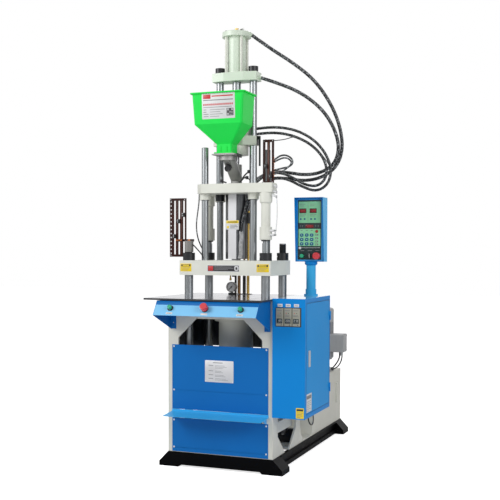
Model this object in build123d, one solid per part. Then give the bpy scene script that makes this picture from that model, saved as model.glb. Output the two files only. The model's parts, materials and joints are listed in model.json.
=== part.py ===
from build123d import *
from math import copysign, hypot, pi, radians, tan
import os

os.makedirs("parts", exist_ok=True)

# Vertical injection moulding machine, in millimetres.
# It is drawn from the middle of its body's front face, with Y towards the back.
# Each part is then moved so that the origin is the centre of the four anchor holes, on the floor.

# Fits between pieces
RUN_FIT = 0.05          # radial clearance of a shaft or piston that moves in its bore
SEAT_FIT = 0.1          # radial clearance of a pin or shoulder that is seated
SHEET = 2.0             # folded sheet steel
SKIN_GAP = 0.5          # gap between a cover and the frame beside it

# Base frame
BODY_W = 625.0
BASE_H = 84.0
BEAM_D = 124.0
BEAM_WALL = 10.0
BEAM_OVERHANG = 55.5    # how far a beam's foot stands out past the body, each side
FOOT_H = 12.0
FOOT_L = 118.0
BEAM_END_H = 26.0       # height at which the sloping beam end turns vertical
BASE_L = 1358.0
BEAM_FRONT_Y = -3.0
RAIL_W = 22.0
RAIL_WEB = 8.0
RAIL_FLANGE = 8.0
RAIL_FOOT_H = 24.0
RAIL_GROUND = 8.0
ANCHOR_R = 9.0
ANCHOR_INSET = 38.0     # anchor hole to the end of the foot

# Body frame
PORTAL_T = 14.0
SIDE_T = 12.0
FLOOR_T = 8.0
BED_TOP = 944.0
BED_T = 110.0
BED_D = 411.0
SIDE_D = 480.0
OPENING_W = 498.0
OPENING_SHOULDER_Z = 728.0
OPENING_CHAMFER = 112.0
WEB_D = 83.0
WINDOW_TOP_Z = 640.0
LEG_D = 76.0
LEG_REAR_Y = 474.0
FLARE_H = 112.0
FLARE_FRONT = 122.0
FLARE_REAR = 72.0
CROSS_BEAM_D = 34.0
CROSS_BEAM_H = 80.0
FLOOR_FRONT_Y = 276.0

# Oil tank
TANK_FRONT_Y = 712.0
TANK_L = 637.0
TANK_TOP = 425.0
TANK_WALL = 4.0
TANK_LID_T = 8.0

# Work table
TABLE_T = 10.0
TABLE_LEFT = 374.0
TABLE_FRONT_Y = -180.0
TABLE_REAR_Y = 530.0
PIPE_SLOT_X = -40.0
PIPE_SLOT_W = 128.0
PIPE_SLOT_D = 36.0
PIPE_SLOT_Y = 445.0

# Covers and shelf
COVER_W = 572.0
COVER_T = 2.0
COVER_GAP = 0.2
COVER_TOP_Z = 688.0
COVER_LOW_Z = 88.0
SHELF_Z = 312.0
SHELF_D = 125.0
SHELF_W = 576.0
SHELF_DROP = 9.0
SHELF_UPSTAND = 14.0
SHELF_BRACKET_H = 34.0
SHELF_RIB_D = 70.0
SCREW_R = 3.3
COVER_SCREW_INSET = 11.0

# Console
CONSOLE_W = 594.0
CONSOLE_TOP_Y = -172.0
CONSOLE_LIP_Y = -222.0
CONSOLE_TOP_Z = 941.0
CONSOLE_LIP_Z = 865.0
CONSOLE_LOW_Z = 776.0
CONSOLE_FLANGE = 35.0
CONSOLE_LIP = 12.0
BUTTON_X = 203.0
BUTTON_R = 11.0
BUTTON_STEM_R = 8.0
BUTTON_H = 16.0
STOP_R = 20.0
STOP_H = 24.0
STOP_STEM_R = 10.0

# Switch cabinet on the right side
CABINET_W = 184.0
CABINET_GAP = 0.5
CABINET_FRONT_Y = -16.0
CABINET_D = 467.0
CABINET_LOW_Z = 317.0
CABINET_TOP_Z = 958.0
DOOR_BORDER = 22.0
DOOR_GAP = 1.5
DOOR_FLANGE = 14.0
HINGE_R = 4.0
HINGE_L = 50.0
HINGE_PIN_R = 2.0
HINGE_LEAF_W = 14.0
HINGE_INSET = 90.0
HINGE_GAP = 0.3
LATCH_W = 33.0
LATCH_H = 88.0
LATCH_Z = 635.0
LATCH_Y = 55.0
LATCH_SPINDLE_R = 9.0
LATCH_CAM_L = 50.0
CONTROLLER_W = 42.0
CONTROLLER_H = 94.0
CONTROLLER_PITCH = 46.0
CONTROLLER_X = 356.0
CONTROLLER_TOP_Z = 907.0
CONTROLLER_D = 90.0

# Pendant
POST_X = 399.0
POST_Y = 396.0
POST_R = 27.0
POST_FLANGE_R = 40.0
POST_FLANGE_H = 8.0
POST_COLLAR_R = 31.0
POST_COLLAR_H = 36.0
POST_TOP_Z = 1130.0
SPIGOT_R = 18.0
SPIGOT_H = 18.0
PENDANT_HUB_R = 36.0
PENDANT_LOW_Z = 1151.0
PENDANT_W = 169.0
PENDANT_H = 363.0
PENDANT_D = 92.0
PENDANT_FRONT_Y = 338.0
PENDANT_SLOPE = 28.0    # how far the visor stands out past the foot of the cheeks
PANEL_SET_BACK = 6.0
PENDANT_ROW_Z = 1184.0
PENDANT_PITCH = 44.0
PENDANT_START_X = 355.0

# Clamp unit
AXIS_Y = 242.0
TIE_X = 231.0
TIE_DY = 142.0
TIE_R = 24.0
TIE_END_R = 19.0
PLATEN_LOW_Z = 1075.0
PLATEN_T = 82.0
PLATEN_W = 548.0
PLATEN_D = 361.0
PLATEN_HOLE_R = 52.0
NUT_R = 34.0
NUT_H = 43.0
STUB_TOP_Z = 1253.0
STUB_CAP_R = 25.0
STUB_CAP_H = 63.0
BUSH_R = 36.0
BUSH_H = 100.0
CROSSHEAD_LOW_Z = 200.0
CROSSHEAD_T = 60.0
CROSSHEAD_W = 570.0
CROSSHEAD_D = 380.0
CLAMP_CYL_R = 98.0
CLAMP_CYL_BORE_R = 63.0
CLAMP_CYL_FLANGE_R = 122.0
CLAMP_CYL_FLANGE_T = 22.0
CLAMP_CYL_LOW_Z = 470.0
CLAMP_ROD_R = 38.0
CLAMP_PISTON_T = 50.0
CYL_END_T = 40.0

# Carriage on the guide columns
COLUMN_X = 146.0
COLUMN_DY = 110.0
COLUMN_R = 19.0
COLUMN_SEAT_R = 14.0
COLUMN_SEAT_H = 40.0
COLUMN_TOP_Z = 1790.0
CARRIAGE_LOW_Z = 1531.0
CARRIAGE_T = 51.0
CARRIAGE_HALF_W = 277.0
CARRIAGE_HALF_D = 176.0
CARRIAGE_EAR_D = 84.0
CARRIAGE_SHOULDER_X = 180.0
CARRIAGE_WAIST_DY = 8.0
CARRIAGE_SHOULDER_DY = 139.0
CARRIAGE_NOSE_X = 143.0
BOSS_R = 30.5
BOSS_H = 35.0
TOUCH_BOSS_R = 34.0
TOUCH_BOSS_H = 62.0
TOUCH_TUBE_R = 25.5
TOUCH_TUBE_LOW_Z = 1342.0
TOUCH_CAP_R = 34.0
TOUCH_CAP_LOW_Z = 1271.0
TOUCH_BORE_R = 20.0
TOUCH_ROD_R = 16.0
TOUCH_PISTON_T = 20.0

# Injection unit
ROD_X = 101.0
ROD_R = 21.0
ROD_END_R = 16.0
ROD_NUT_R = 25.5
ROD_NUT_H = 36.0
TOP_NUT_R = 27.5
TOP_NUT_H = 33.0
TOP_PLATE_LOW_Z = 2166.0
TOP_PLATE_T = 48.0
TOP_PLATE_HALF_W = 134.0
TOP_PLATE_END_HALF_D = 41.0
TOP_PLATE_HALF_D = 55.0
PLATE_FRONT_X = 60.0    # half the length of each plate's straight front edge
CYL_TUBE_R = 50.0
CYL_BORE_R = 40.0
CYL_TUBE_H = 200.0
CYL_CAP_R = 82.0
CYL_CAP_T = 28.0
CYL_ROD_R = 8.0
CYL_ROD_OFFSET = 45.0
PLUG_R = 11.0
PLUG_H = 24.0
PISTON_ROD_R = 24.0
PISTON_T = 26.0
INJECT_LOW_Z = 1805.0
INJECT_T = 52.0
INJECT_HALF_W = 131.0
INJECT_END_HALF_D = 25.0
INJECT_HALF_D = 60.0
HOUSING_R = 69.0
HOUSING_H = 52.0
YOKE_W = 150.0
YOKE_D = 80.0
YOKE_T = 12.0
YOKE_H = 173.0
DRIVE_R = 44.0
DRIVE_H = 128.0
FLAG_W = 8.0
FLAG_D = 10.0
FLAG_H = 168.0
FLAG_BRACKET_L = 6.0
FLAG_BRACKET_H = 20.0
SCREW_SHANK_R = 17.0
FEED_SCREW_R = 15.0

# Barrel, throat and hopper
BARREL_R = 32.0
BARREL_LOW_Z = 1175.0
NOZZLE_R = 20.0
NOZZLE_TIP_Z = 1088.0
BAND_R = 42.0
BAND_H = 90.0
BAND_GAP = 12.0
GUARD_FRONT_DY = 62.0
GUARD_FRONT_W = 49.0
GUARD_W = 120.0
GUARD_CHAMFER_D = 48.0
GUARD_D = 120.0
GUARD_LOW_Z = 1165.0
GUARD_T = 1.5
THROAT_R = 31.0
THROAT_TOP_Z = 1700.0
THROAT_LEG_R = 34.0
THROAT_LEG_END_H = 40.0     # height above the carriage plate at which the leg's axis meets the screw's
THROAT_BORE_R = 20.0
THROAT_FLANGE_Z = 1738.0
THROAT_FOOT_H = 12.0
THROAT_FOOT_LIP = 12.0
THROAT_COLLAR_H = 26.0
THROAT_COLLAR_R = 45.0
THROAT_MOUTH_BACK = 10.0    # from the neck's axis to the leg's mouth
THROAT_FLANGE_T = 6.0
THROAT_FLANGE_W = 136.0
THROAT_FLANGE_D = 124.0
NECK_Y = 100.0
NECK_W = 90.0
SPOUT_R = 16.0
SPOUT_L = 62.0
SPOUT_ALONG = 78.0      # from the leg's mouth along its axis
SPOUT_DIRECTION = (0, -0.95, -0.31)
GATE_T = 3.0
GATE_INSET = 44.0
GATE_L = 117.0
GATE_GAP = 0.3
HOPPER_WALL = 3.5
HOPPER_W = 300.0
HOPPER_D = 186.0
HOPPER_Y = 50.0
HOPPER_CORNER_R = 12.0
HOPPER_RIM_W = 322.0
HOPPER_RIM_D = 208.0
HOPPER_RIM_T = 6.0
HOPPER_TOP_Z = 2068.0
HOPPER_CREASE_Z = 1898.0
HOPPER_NECK_TOP_Z = 1797.0
HOPPER_TAPER = 20.0
NECK_FLANGE_W = 112.0

# Switch boards
BOARD_T = 8.0
LEFT_BOARD_W = 102.0
LEFT_BOARD_H = 334.0
LEFT_BOARD_LOW_Z = 1176.0
LEFT_BOARD_OFFSET = 37.0    # tie bar's axis to the board's right edge
LEFT_BOARD_SET_BACK = 39.0
BOARD_BAR_W = 14.0
BOARD_BAR_T = 7.0
RIGHT_BOARD_W = 64.0
RIGHT_BOARD_H = 243.0
RIGHT_BOARD_X = 222.0
RIGHT_BOARD_Y = 160.0
BOARD_SLOT_W = 12.0

# Gauge, pipes, motor and valves
GAUGE_X = -98.0
GAUGE_Y = 405.0
GAUGE_Z = 997.0
GAUGE_R = 30.0
GAUGE_D = 24.0
PIPE_R = 6.5
PIPE_LOW_Z = 640.0
PIPE_CLIP_H = 28.0
PIPE_CLIP_MARGIN = 14.0
HANGER_T = 8.0
HANGER_H = 208.0
HOSE_R = 10.0
MOTOR_HOSE_R = 8.0
CABLE_R = 3.5
FERRULE_R = 10.5
MOTOR_FERRULE_R = 10.0
FERRULE_H = 60.0
SPIGOT_L = 34.0
CAP_SPIGOT_L = 18.0

# Routes of the free hoses and of the switch cable, chosen by hand from their first end to their last
HOSE_TOP = [(92, 246, 2422), (192, 268, 2346), (316, 316, 2264), (424, 366, 2172), (506, 412, 2044),
            (552, 448, 1912), (560, 476, 1786), (516, 490, 1688), (424, 490, 1632), (322, 486, 1618),
            (222, 482, 1636), (132, 480, 1640), (56, 478, 1600), (2, 474, 1532), (-42, 462, 1462),
            (-61, 448, 1394), (-63, 445, 1346), (-63, 445, 1300)]
HOSE_PLATE = [(150, 240, 2180), (266, 262, 2141), (376, 306, 2088), (470, 356, 2008), (528, 402, 1908),
              (550, 438, 1800), (518, 458, 1708), (436, 464, 1660), (334, 466, 1650), (234, 470, 1668),
              (146, 474, 1676), (62, 474, 1652), (-10, 470, 1598), (-60, 460, 1528), (-82, 449, 1456),
              (-85, 445, 1392), (-85, 445, 1330)]
HOSE_MOTOR_A = [(66, 296, 1902), (140, 304, 1912), (240, 322, 1912), (336, 350, 1890), (424, 380, 1836),
                (484, 402, 1758), (512, 416, 1668), (484, 430, 1586), (412, 440, 1552), (326, 445, 1582),
                (240, 447, 1628), (158, 448, 1640), (88, 448, 1614), (32, 447, 1564), (2, 446, 1514),
                (-6, 445, 1474), (-6, 445, 1440)]
HOSE_MOTOR_B = [(66, 300, 1872), (140, 306, 1882), (240, 322, 1880), (334, 348, 1854), (420, 374, 1802),
                (480, 399, 1722), (484, 418, 1632), (426, 434, 1580), (344, 441, 1592), (274, 445, 1634),
                (206, 448, 1664), (134, 448, 1668), (66, 448, 1636), (10, 447, 1578), (-23, 446, 1510),
                (-30, 445, 1442), (-30, 445, 1380)]
SWITCH_CABLE = [(-186, 140, 1531), (-186, 140, 1492), (-190, 130, 1432), (-196, 122, 1366),
                (-193, 124, 1302), (-181, 139, 1248), (-168, 160, 1212), (-163, 170, 1184), (-163, 170, 1157)]
MOTOR_X = 205.0
MOTOR_Y = 1200.0
MOTOR_FLANGE_R = 100.0
MOTOR_BELL_H = 75.0
MOTOR_R = 88.0
MOTOR_FIN_R = 97.0
MOTOR_FINS = 20
MOTOR_FIN_T = 4.0
MOTOR_BODY_TOP_Z = 745.0
MOTOR_TOP_Z = 838.0
COWL_R = 97.0
ROTOR_R = 55.0
MOTOR_SHAFT_R = 14.0
FAN_BLADES = 7
TERMINAL_W = 100.0
TERMINAL_H = 118.0
TERMINAL_OUT = 78.0
PUMP_R = 58.0
PUMP_H = 130.0
VALVE_X = -150.0
VALVE_Y = 860.0

# Derived places that many parts share
HALF_W = BODY_W / 2
BEAM_REAR_Y = BEAM_FRONT_Y + BASE_L - BEAM_D
ORIGIN_Y = BEAM_FRONT_Y + BASE_L / 2
TABLE_TOP = BED_TOP + TABLE_T
PLATEN_TOP = PLATEN_LOW_Z + PLATEN_T
CARRIAGE_TOP = CARRIAGE_LOW_Z + CARRIAGE_T
INJECT_TOP = INJECT_LOW_Z + INJECT_T
TOP_PLATE_TOP = TOP_PLATE_LOW_Z + TOP_PLATE_T
CYL_TOP = TOP_PLATE_TOP + CYL_TUBE_H
NECK_FLANGE_Z = THROAT_FLANGE_Z + THROAT_FLANGE_T + GATE_T
GATE_FRONT_Y = NECK_Y - 24
GATE_REAR_Y = NECK_Y + 44
CABINET_X = HALF_W + CABINET_GAP
CABINET_RIGHT = CABINET_X + CABINET_W
HINGE_X = CABINET_RIGHT + HINGE_R + HINGE_GAP
TIE_PLACES = [(sx * TIE_X, AXIS_Y + sy * TIE_DY) for sx in (-1, 1) for sy in (-1, 1)]
COLUMN_PLACES = [(sx * COLUMN_X, AXIS_Y + sy * COLUMN_DY) for sx in (-1, 1) for sy in (-1, 1)]
TOUCH_PLACES = [(TIE_X, AXIS_Y - TIE_DY), (-TIE_X, AXIS_Y + TIE_DY)]


def block(x0, x1, y0, y1, z0, z1):
    """A box between two corners."""
    return Pos((x0 + x1) / 2, (y0 + y1) / 2, (z0 + z1) / 2) * Box(x1 - x0, y1 - y0, z1 - z0)


def rod(x, y, z0, z1, r):
    """An upright round bar."""
    return Pos(x, y, (z0 + z1) / 2) * Cylinder(r, z1 - z0)


def rod_y(x, z, y0, y1, r):
    """A round bar along Y."""
    return Pos(x, (y0 + y1) / 2, z) * Rot(90, 0, 0) * Cylinder(r, y1 - y0)


def rod_x(y, z, x0, x1, r):
    """A round bar along X."""
    return Pos((x0 + x1) / 2, y, z) * Rot(0, 90, 0) * Cylinder(r, x1 - x0)


def plate_z(points, z0, z1):
    """A plate with an XY outline."""
    return extrude(Plane.XY.offset(z0) * Polygon(*points, align=None), z1 - z0, dir=(0, 0, 1))


def plate_y(points, y0, y1):
    """A plate with an XZ outline."""
    face = Plane(origin=(0, y1, 0), x_dir=(1, 0, 0), z_dir=(0, -1, 0)) * Polygon(*points, align=None)
    return extrude(face, y1 - y0, dir=(0, -1, 0))


def plate_x(points, x0, x1):
    """A plate with a YZ outline."""
    return extrude(Plane.YZ.offset(x0) * Polygon(*points, align=None), x1 - x0, dir=(1, 0, 0))


def spigot(points, r, length):
    """A round fitting on to which a hose is pressed, reaching back from the hose's first point."""
    back = Vector(*points[0]) - Vector(*points[1])
    return extrude(Plane(origin=points[0], z_dir=back) * Circle(r), length)


def save(node, *solids):
    """Writes one node, in the frame whose origin is the centre of the anchor holes."""
    shape = solids[0] if len(solids) == 1 else Compound(children=list(solids))
    export_step(shape.moved(Location((0, -ORIGIN_Y, 0))), f"parts/{node}.step")


# Base frame: two pressed beams with sloping ends and feet, joined by two channel rails

def base_frame():
    foot_x = HALF_W + BEAM_OVERHANG
    outer = [(-HALF_W, BASE_H), (-foot_x, BEAM_END_H), (-foot_x, 0), (-foot_x + FOOT_L, 0),
             (-foot_x + FOOT_L + FOOT_H, FOOT_H), (foot_x - FOOT_L - FOOT_H, FOOT_H),
             (foot_x - FOOT_L, 0), (foot_x, 0), (foot_x, BEAM_END_H), (HALF_W, BASE_H)]
    end_x, top_x = foot_x - BEAM_WALL, HALF_W - BEAM_WALL / 2
    end_z, top_z = BEAM_END_H - BEAM_WALL / 2, BASE_H - BEAM_WALL
    inner = [(-end_x, FOOT_H), (-end_x, end_z), (-top_x, top_z),
             (top_x, top_z), (end_x, end_z), (end_x, FOOT_H)]
    frame = None
    for y in (BEAM_FRONT_Y, BEAM_REAR_Y):
        beam = plate_y(outer, y, y + BEAM_D) - plate_y(inner, y + BEAM_WALL, y + BEAM_D - BEAM_WALL)
        for side in (-1, 1):
            hole_x = side * (foot_x - ANCHOR_INSET)
            beam -= rod(hole_x, y + BEAM_D / 2, -1, FOOT_H + 1, ANCHOR_R)
        frame = beam if frame is None else frame + beam
    y0, y1 = BEAM_FRONT_Y + BEAM_D, BEAM_REAR_Y
    rail_x = HALF_W + RAIL_WEB
    for side in (-1, 1):
        back = rail_x - RAIL_W
        section = [(back, RAIL_GROUND), (rail_x, RAIL_GROUND), (rail_x, RAIL_GROUND + RAIL_FOOT_H),
                   (back + RAIL_WEB, RAIL_GROUND + RAIL_FOOT_H), (back + RAIL_WEB, BASE_H - RAIL_FLANGE),
                   (rail_x, BASE_H - RAIL_FLANGE), (rail_x, BASE_H), (back, BASE_H)]
        frame += plate_y([(side * x, z) for x, z in section], y0, y1)
    return frame


# Body frame: portal plate, side plates, bed block, floor plate and cross beam, welded together

def body_frame():
    half = OPENING_W / 2
    top = OPENING_SHOULDER_Z + OPENING_CHAMFER
    opening = [(-half, BASE_H + FLOOR_T + 20), (-half, OPENING_SHOULDER_Z), (-half + OPENING_CHAMFER, top),
               (half - OPENING_CHAMFER, top), (half, OPENING_SHOULDER_Z), (half, BASE_H + FLOOR_T + 20)]
    frame = block(-HALF_W, HALF_W, 0, PORTAL_T, BASE_H, BED_TOP) - plate_y(opening, -1, PORTAL_T + 1)
    leg_front = LEG_REAR_Y - LEG_D
    side = [(PORTAL_T, BASE_H), (WEB_D + FLARE_FRONT, BASE_H), (WEB_D, BASE_H + FLARE_H),
            (WEB_D, WINDOW_TOP_Z - 40), (WEB_D + 40, WINDOW_TOP_Z), (leg_front - 40, WINDOW_TOP_Z),
            (leg_front, WINDOW_TOP_Z - 40), (leg_front, BASE_H + FLARE_H),
            (leg_front - FLARE_FRONT, BASE_H), (LEG_REAR_Y + FLARE_REAR, BASE_H),
            (LEG_REAR_Y + FLARE_REAR / 4, BASE_H + FLARE_H / 2), (LEG_REAR_Y, BASE_H + FLARE_H),
            (LEG_REAR_Y, WINDOW_TOP_Z), (SIDE_D, WINDOW_TOP_Z + 60), (SIDE_D, BED_TOP), (PORTAL_T, BED_TOP)]
    inside = HALF_W - SIDE_T
    frame += plate_x(side, inside, HALF_W)
    frame += plate_x(side, -HALF_W, -inside)
    frame += block(-inside, inside, PORTAL_T, PORTAL_T + BED_D, BED_TOP - BED_T, BED_TOP)
    frame += block(-HALF_W, HALF_W, FLOOR_FRONT_Y, TANK_FRONT_Y + TANK_L, BASE_H, BASE_H + FLOOR_T)
    frame += block(-inside, inside, LEG_REAR_Y - CROSS_BEAM_D, LEG_REAR_Y,
                   BASE_H + FLOOR_T, BASE_H + FLOOR_T + CROSS_BEAM_H)
    frame += block(-inside, inside, LEG_REAR_Y - SIDE_T, LEG_REAR_Y, WINDOW_TOP_Z, BED_TOP - BED_T)
    for x, y in TIE_PLACES:
        frame -= rod(x, y, BED_TOP - BED_T - 1, BED_TOP + 1, BUSH_R)
    return frame


def oil_tank():
    y0, y1, z0 = TANK_FRONT_Y, TANK_FRONT_Y + TANK_L, BASE_H + FLOOR_T
    tank = block(-HALF_W, HALF_W, y0, y1, z0, TANK_TOP)
    tank -= block(-HALF_W + TANK_WALL, HALF_W - TANK_WALL, y0 + TANK_WALL, y1 - TANK_WALL,
                  z0 + TANK_WALL, TANK_TOP - TANK_LID_T)
    tank -= rod(MOTOR_X, MOTOR_Y, TANK_TOP - TANK_LID_T - 1, TANK_TOP + 1, PUMP_R + SEAT_FIT)
    filler = rod(-HALF_W + 90, y1 - 90, TANK_TOP, TANK_TOP + 14, 38)
    filler += rod(-HALF_W + 90, y1 - 90, TANK_TOP + 14, TANK_TOP + 52, 30)
    sight = block(HALF_W, HALF_W + 10, y1 - 120, y1 - 90, z0 + 120, z0 + 250)
    return tank, filler, sight


def work_table():
    table = block(-TABLE_LEFT, HALF_W - SKIN_GAP, TABLE_FRONT_Y, TABLE_REAR_Y, BED_TOP, TABLE_TOP)
    for x, y in TIE_PLACES:
        table -= rod(x, y, BED_TOP - 1, TABLE_TOP + 1, TIE_R + 2)
    table -= rod(0, AXIS_Y, BED_TOP - 1, TABLE_TOP + 1, 15)
    x0, y0 = PIPE_SLOT_X - PIPE_SLOT_W / 2, PIPE_SLOT_Y - PIPE_SLOT_D / 2
    slot = block(x0, x0 + PIPE_SLOT_W, y0, y0 + PIPE_SLOT_D, BED_TOP - 1, TABLE_TOP + 1)
    slot = fillet(slot.edges().filter_by(Axis.Z), 10)
    return table - slot


# Front covers, shelf and console

def cover(z0, z1, screw_zs):
    sheet = block(-COVER_W / 2, COVER_W / 2, -COVER_GAP - COVER_T, -COVER_GAP, z0, z1)
    for x in (-COVER_W / 2 + COVER_SCREW_INSET, COVER_W / 2 - COVER_SCREW_INSET):
        for z in screw_zs:
            sheet -= rod_y(x, z, -COVER_T - 1, 1, SCREW_R)
    return sheet


def front_shelf():
    y_out = -COVER_T - SHELF_D
    low = SHELF_Z - SHELF_DROP
    section = [(0, SHELF_Z), (0, SHELF_Z + SHELF_UPSTAND), (-COVER_T, SHELF_Z + SHELF_UPSTAND),
               (-COVER_T, SHELF_Z + SHEET), (y_out, low + SHEET), (y_out, low), (0, SHELF_Z - SHEET)]
    shelf = plate_x(section, -SHELF_W / 2, SHELF_W / 2)
    for side in (-1, 1):
        x0 = side * (SHELF_W / 2 - 14)
        rib_z = SHELF_Z - SHEET - (SHELF_DROP - SHEET) * SHELF_RIB_D / (COVER_T + SHELF_D)
        rib = [(0, SHELF_Z - SHEET), (0, SHELF_Z - SHELF_BRACKET_H), (-12, SHELF_Z - SHELF_BRACKET_H),
               (-SHELF_RIB_D, rib_z)]
        shelf += plate_x(rib, min(x0, x0 + side * SHEET), max(x0, x0 + side * SHEET))
    return shelf


def console_normal():
    dy, dz = CONSOLE_LIP_Y - CONSOLE_TOP_Y, CONSOLE_LIP_Z - CONSOLE_TOP_Z
    length = hypot(dy, dz)
    return dz / length, -dy / length


def console_point(x):
    """Middle of the console's face at a given X, and the plane of its outer skin there."""
    ny, nz = console_normal()
    y = (CONSOLE_TOP_Y + CONSOLE_LIP_Y) / 2
    z = (CONSOLE_TOP_Z + CONSOLE_LIP_Z) / 2
    return Plane(origin=(x, y, z), x_dir=(1, 0, 0), z_dir=(0, ny, nz))


def console():
    half = CONSOLE_W / 2
    ny, nz = console_normal()
    inner_lip = (CONSOLE_LIP_Y - ny * SHEET, CONSOLE_LIP_Z - nz * SHEET)
    face = [(CONSOLE_TOP_Y, CONSOLE_TOP_Z), (CONSOLE_LIP_Y, CONSOLE_LIP_Z),
            (CONSOLE_LIP_Y + CONSOLE_LIP, CONSOLE_LIP_Z),
            (CONSOLE_LIP_Y + CONSOLE_LIP, CONSOLE_LIP_Z + SHEET),
            (inner_lip[0], CONSOLE_LIP_Z + SHEET), (CONSOLE_TOP_Y - ny * SHEET, CONSOLE_TOP_Z - SHEET),
            (-SHEET, CONSOLE_TOP_Z - SHEET), (-SHEET, CONSOLE_TOP_Z)]
    sheet = plate_x(face, -half, half)
    end = [(CONSOLE_TOP_Y, CONSOLE_TOP_Z), (CONSOLE_LIP_Y, CONSOLE_LIP_Z),
           (0, CONSOLE_LOW_Z), (0, CONSOLE_TOP_Z)]
    sheet += plate_x(end, -half, -half + SHEET)
    sheet += plate_x(end, half - SHEET, half)
    for side in (-1, 1):
        x0, x1 = sorted((side * half, side * (half - CONSOLE_FLANGE)))
        flange = block(x0, x1, -SHEET, 0, CONSOLE_LOW_Z, CONSOLE_TOP_Z)
        flange -= rod_y(side * (half - CONSOLE_FLANGE / 2), CONSOLE_LOW_Z + 34, -SHEET - 1, 1, SCREW_R)
        sheet += flange
    for x, r in ((-BUTTON_X, BUTTON_STEM_R), (0, STOP_STEM_R), (BUTTON_X, BUTTON_STEM_R)):
        sheet -= console_point(x) * Cylinder(r + RUN_FIT, 20)
    return sheet


def push_button(plane, head_r, head_h, stem_r, stem_l, lift):
    """A button head that stands off its panel on a stem, with a retaining disc behind it."""
    head = Pos(0, 0, lift + head_h / 2) * Cylinder(head_r, head_h)
    head = fillet(head.edges().sort_by(Axis.Z)[-1], min(3.0, head_h / 3))
    stem = Pos(0, 0, (lift - stem_l) / 2) * Cylinder(stem_r, lift + stem_l)
    disc = Pos(0, 0, -stem_l - 2) * Cylinder(stem_r + 3, 4)
    return plane * (head + stem + disc)


# Switch cabinet with its door, latch, instruments and switchgear

def cabinet_door_box():
    y0, y1 = CABINET_FRONT_Y + DOOR_BORDER, CABINET_FRONT_Y + CABINET_D - DOOR_BORDER / 2
    z0, z1 = CABINET_LOW_Z + DOOR_BORDER, CABINET_TOP_Z - DOOR_BORDER
    return y0, y1, z0, z1


def cabinet_shell():
    y0, y1 = CABINET_FRONT_Y, CABINET_FRONT_Y + CABINET_D
    shell = block(CABINET_X, CABINET_RIGHT, y0, y1, CABINET_LOW_Z, CABINET_TOP_Z)
    shell -= block(CABINET_X + SHEET, CABINET_RIGHT - SHEET, y0 + SHEET, y1 - SHEET,
                   CABINET_LOW_Z + SHEET, CABINET_TOP_Z - SHEET)
    dy0, dy1, dz0, dz1 = cabinet_door_box()
    shell -= block(CABINET_RIGHT - SHEET - 1, CABINET_RIGHT + 1, dy0, dy1, dz0, dz1)
    for i in range(3):
        x = CONTROLLER_X + i * CONTROLLER_PITCH
        shell -= block(x - CONTROLLER_W / 2 + 2, x + CONTROLLER_W / 2 - 2, y0 - 1, y0 + SHEET + 1,
                       CONTROLLER_TOP_Z - CONTROLLER_H + 3, CONTROLLER_TOP_Z - 3)
    for z in hinge_heights():
        shell += knuckle(z, dy1 + DOOR_BORDER / 2)
        shell += rod(HINGE_X, dy1, z, z + HINGE_L, HINGE_PIN_R)
    return shell


def cabinet_door():
    y0, y1, z0, z1 = cabinet_door_box()
    y0, y1, z0, z1 = y0 + DOOR_GAP, y1 - DOOR_GAP, z0 + DOOR_GAP, z1 - DOOR_GAP
    x1 = CABINET_RIGHT
    door = block(x1 - DOOR_FLANGE, x1, y0, y1, z0, z1)
    door -= block(x1 - DOOR_FLANGE - 1, x1 - SHEET, y0 + SHEET, y1 - SHEET, z0 + SHEET, z1 - SHEET)
    door -= rod_x(LATCH_Y, LATCH_Z, x1 - SHEET - 1, x1 + 1, LATCH_SPINDLE_R + RUN_FIT)
    for z in hinge_heights():
        door += knuckle(z + HINGE_L / 2 + HINGE_GAP, y1 - HINGE_LEAF_W)
        door -= rod(HINGE_X, y1 + DOOR_GAP, z, z + 2 * HINGE_L, HINGE_PIN_R + RUN_FIT)
    return door


def knuckle(z0, y_leaf):
    """Half of a door hinge: a knuckle at the hinge axis with a leaf on the sheet beside it."""
    y = cabinet_door_box()[1]
    y0, y1 = sorted((y + copysign(1, y_leaf - y), y_leaf))
    leaf = block(CABINET_RIGHT, CABINET_RIGHT + SHEET, y0, y1, z0, z0 + HINGE_L / 2)
    return rod(HINGE_X, y, z0, z0 + HINGE_L / 2, HINGE_R) + leaf


def hinge_heights():
    return CABINET_LOW_Z + HINGE_INSET, CABINET_TOP_Z - HINGE_INSET - HINGE_L


def door_latch():
    """Flush latch plate on its spindle, with the cam behind the door's skin."""
    x1 = CABINET_RIGHT
    plate = block(x1 + 0.3, x1 + 4, LATCH_Y - LATCH_W / 2, LATCH_Y + LATCH_W / 2,
                  LATCH_Z - LATCH_H / 2, LATCH_Z + LATCH_H / 2)
    plate = fillet(plate.edges().filter_by(Axis.X), 8)
    cam_x = x1 - DOOR_FLANGE - 4
    spindle = rod_x(LATCH_Y, LATCH_Z, cam_x, x1 + 2, LATCH_SPINDLE_R)
    cam = block(cam_x - 3, cam_x, LATCH_Y - 11, LATCH_Y + 11, LATCH_Z - LATCH_CAM_L, LATCH_Z + 11)
    return plate + spindle + cam


def temperature_controller(i):
    x = CONTROLLER_X + i * CONTROLLER_PITCH
    y0 = CABINET_FRONT_Y
    z1 = CONTROLLER_TOP_Z
    bezel = block(x - CONTROLLER_W / 2, x + CONTROLLER_W / 2, y0 - 8, y0, z1 - CONTROLLER_H, z1)
    bezel = chamfer(bezel.faces().sort_by(Axis.Y)[0].edges(), 2)
    bezel -= block(x - 15, x + 15, y0 - 9, y0 - 6.5, z1 - 66, z1 - 40)
    case = block(x - CONTROLLER_W / 2 + 2.5, x + CONTROLLER_W / 2 - 2.5, y0, y0 + CONTROLLER_D,
                 z1 - CONTROLLER_H + 3.5, z1 - 3.5)
    return bezel + case


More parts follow.
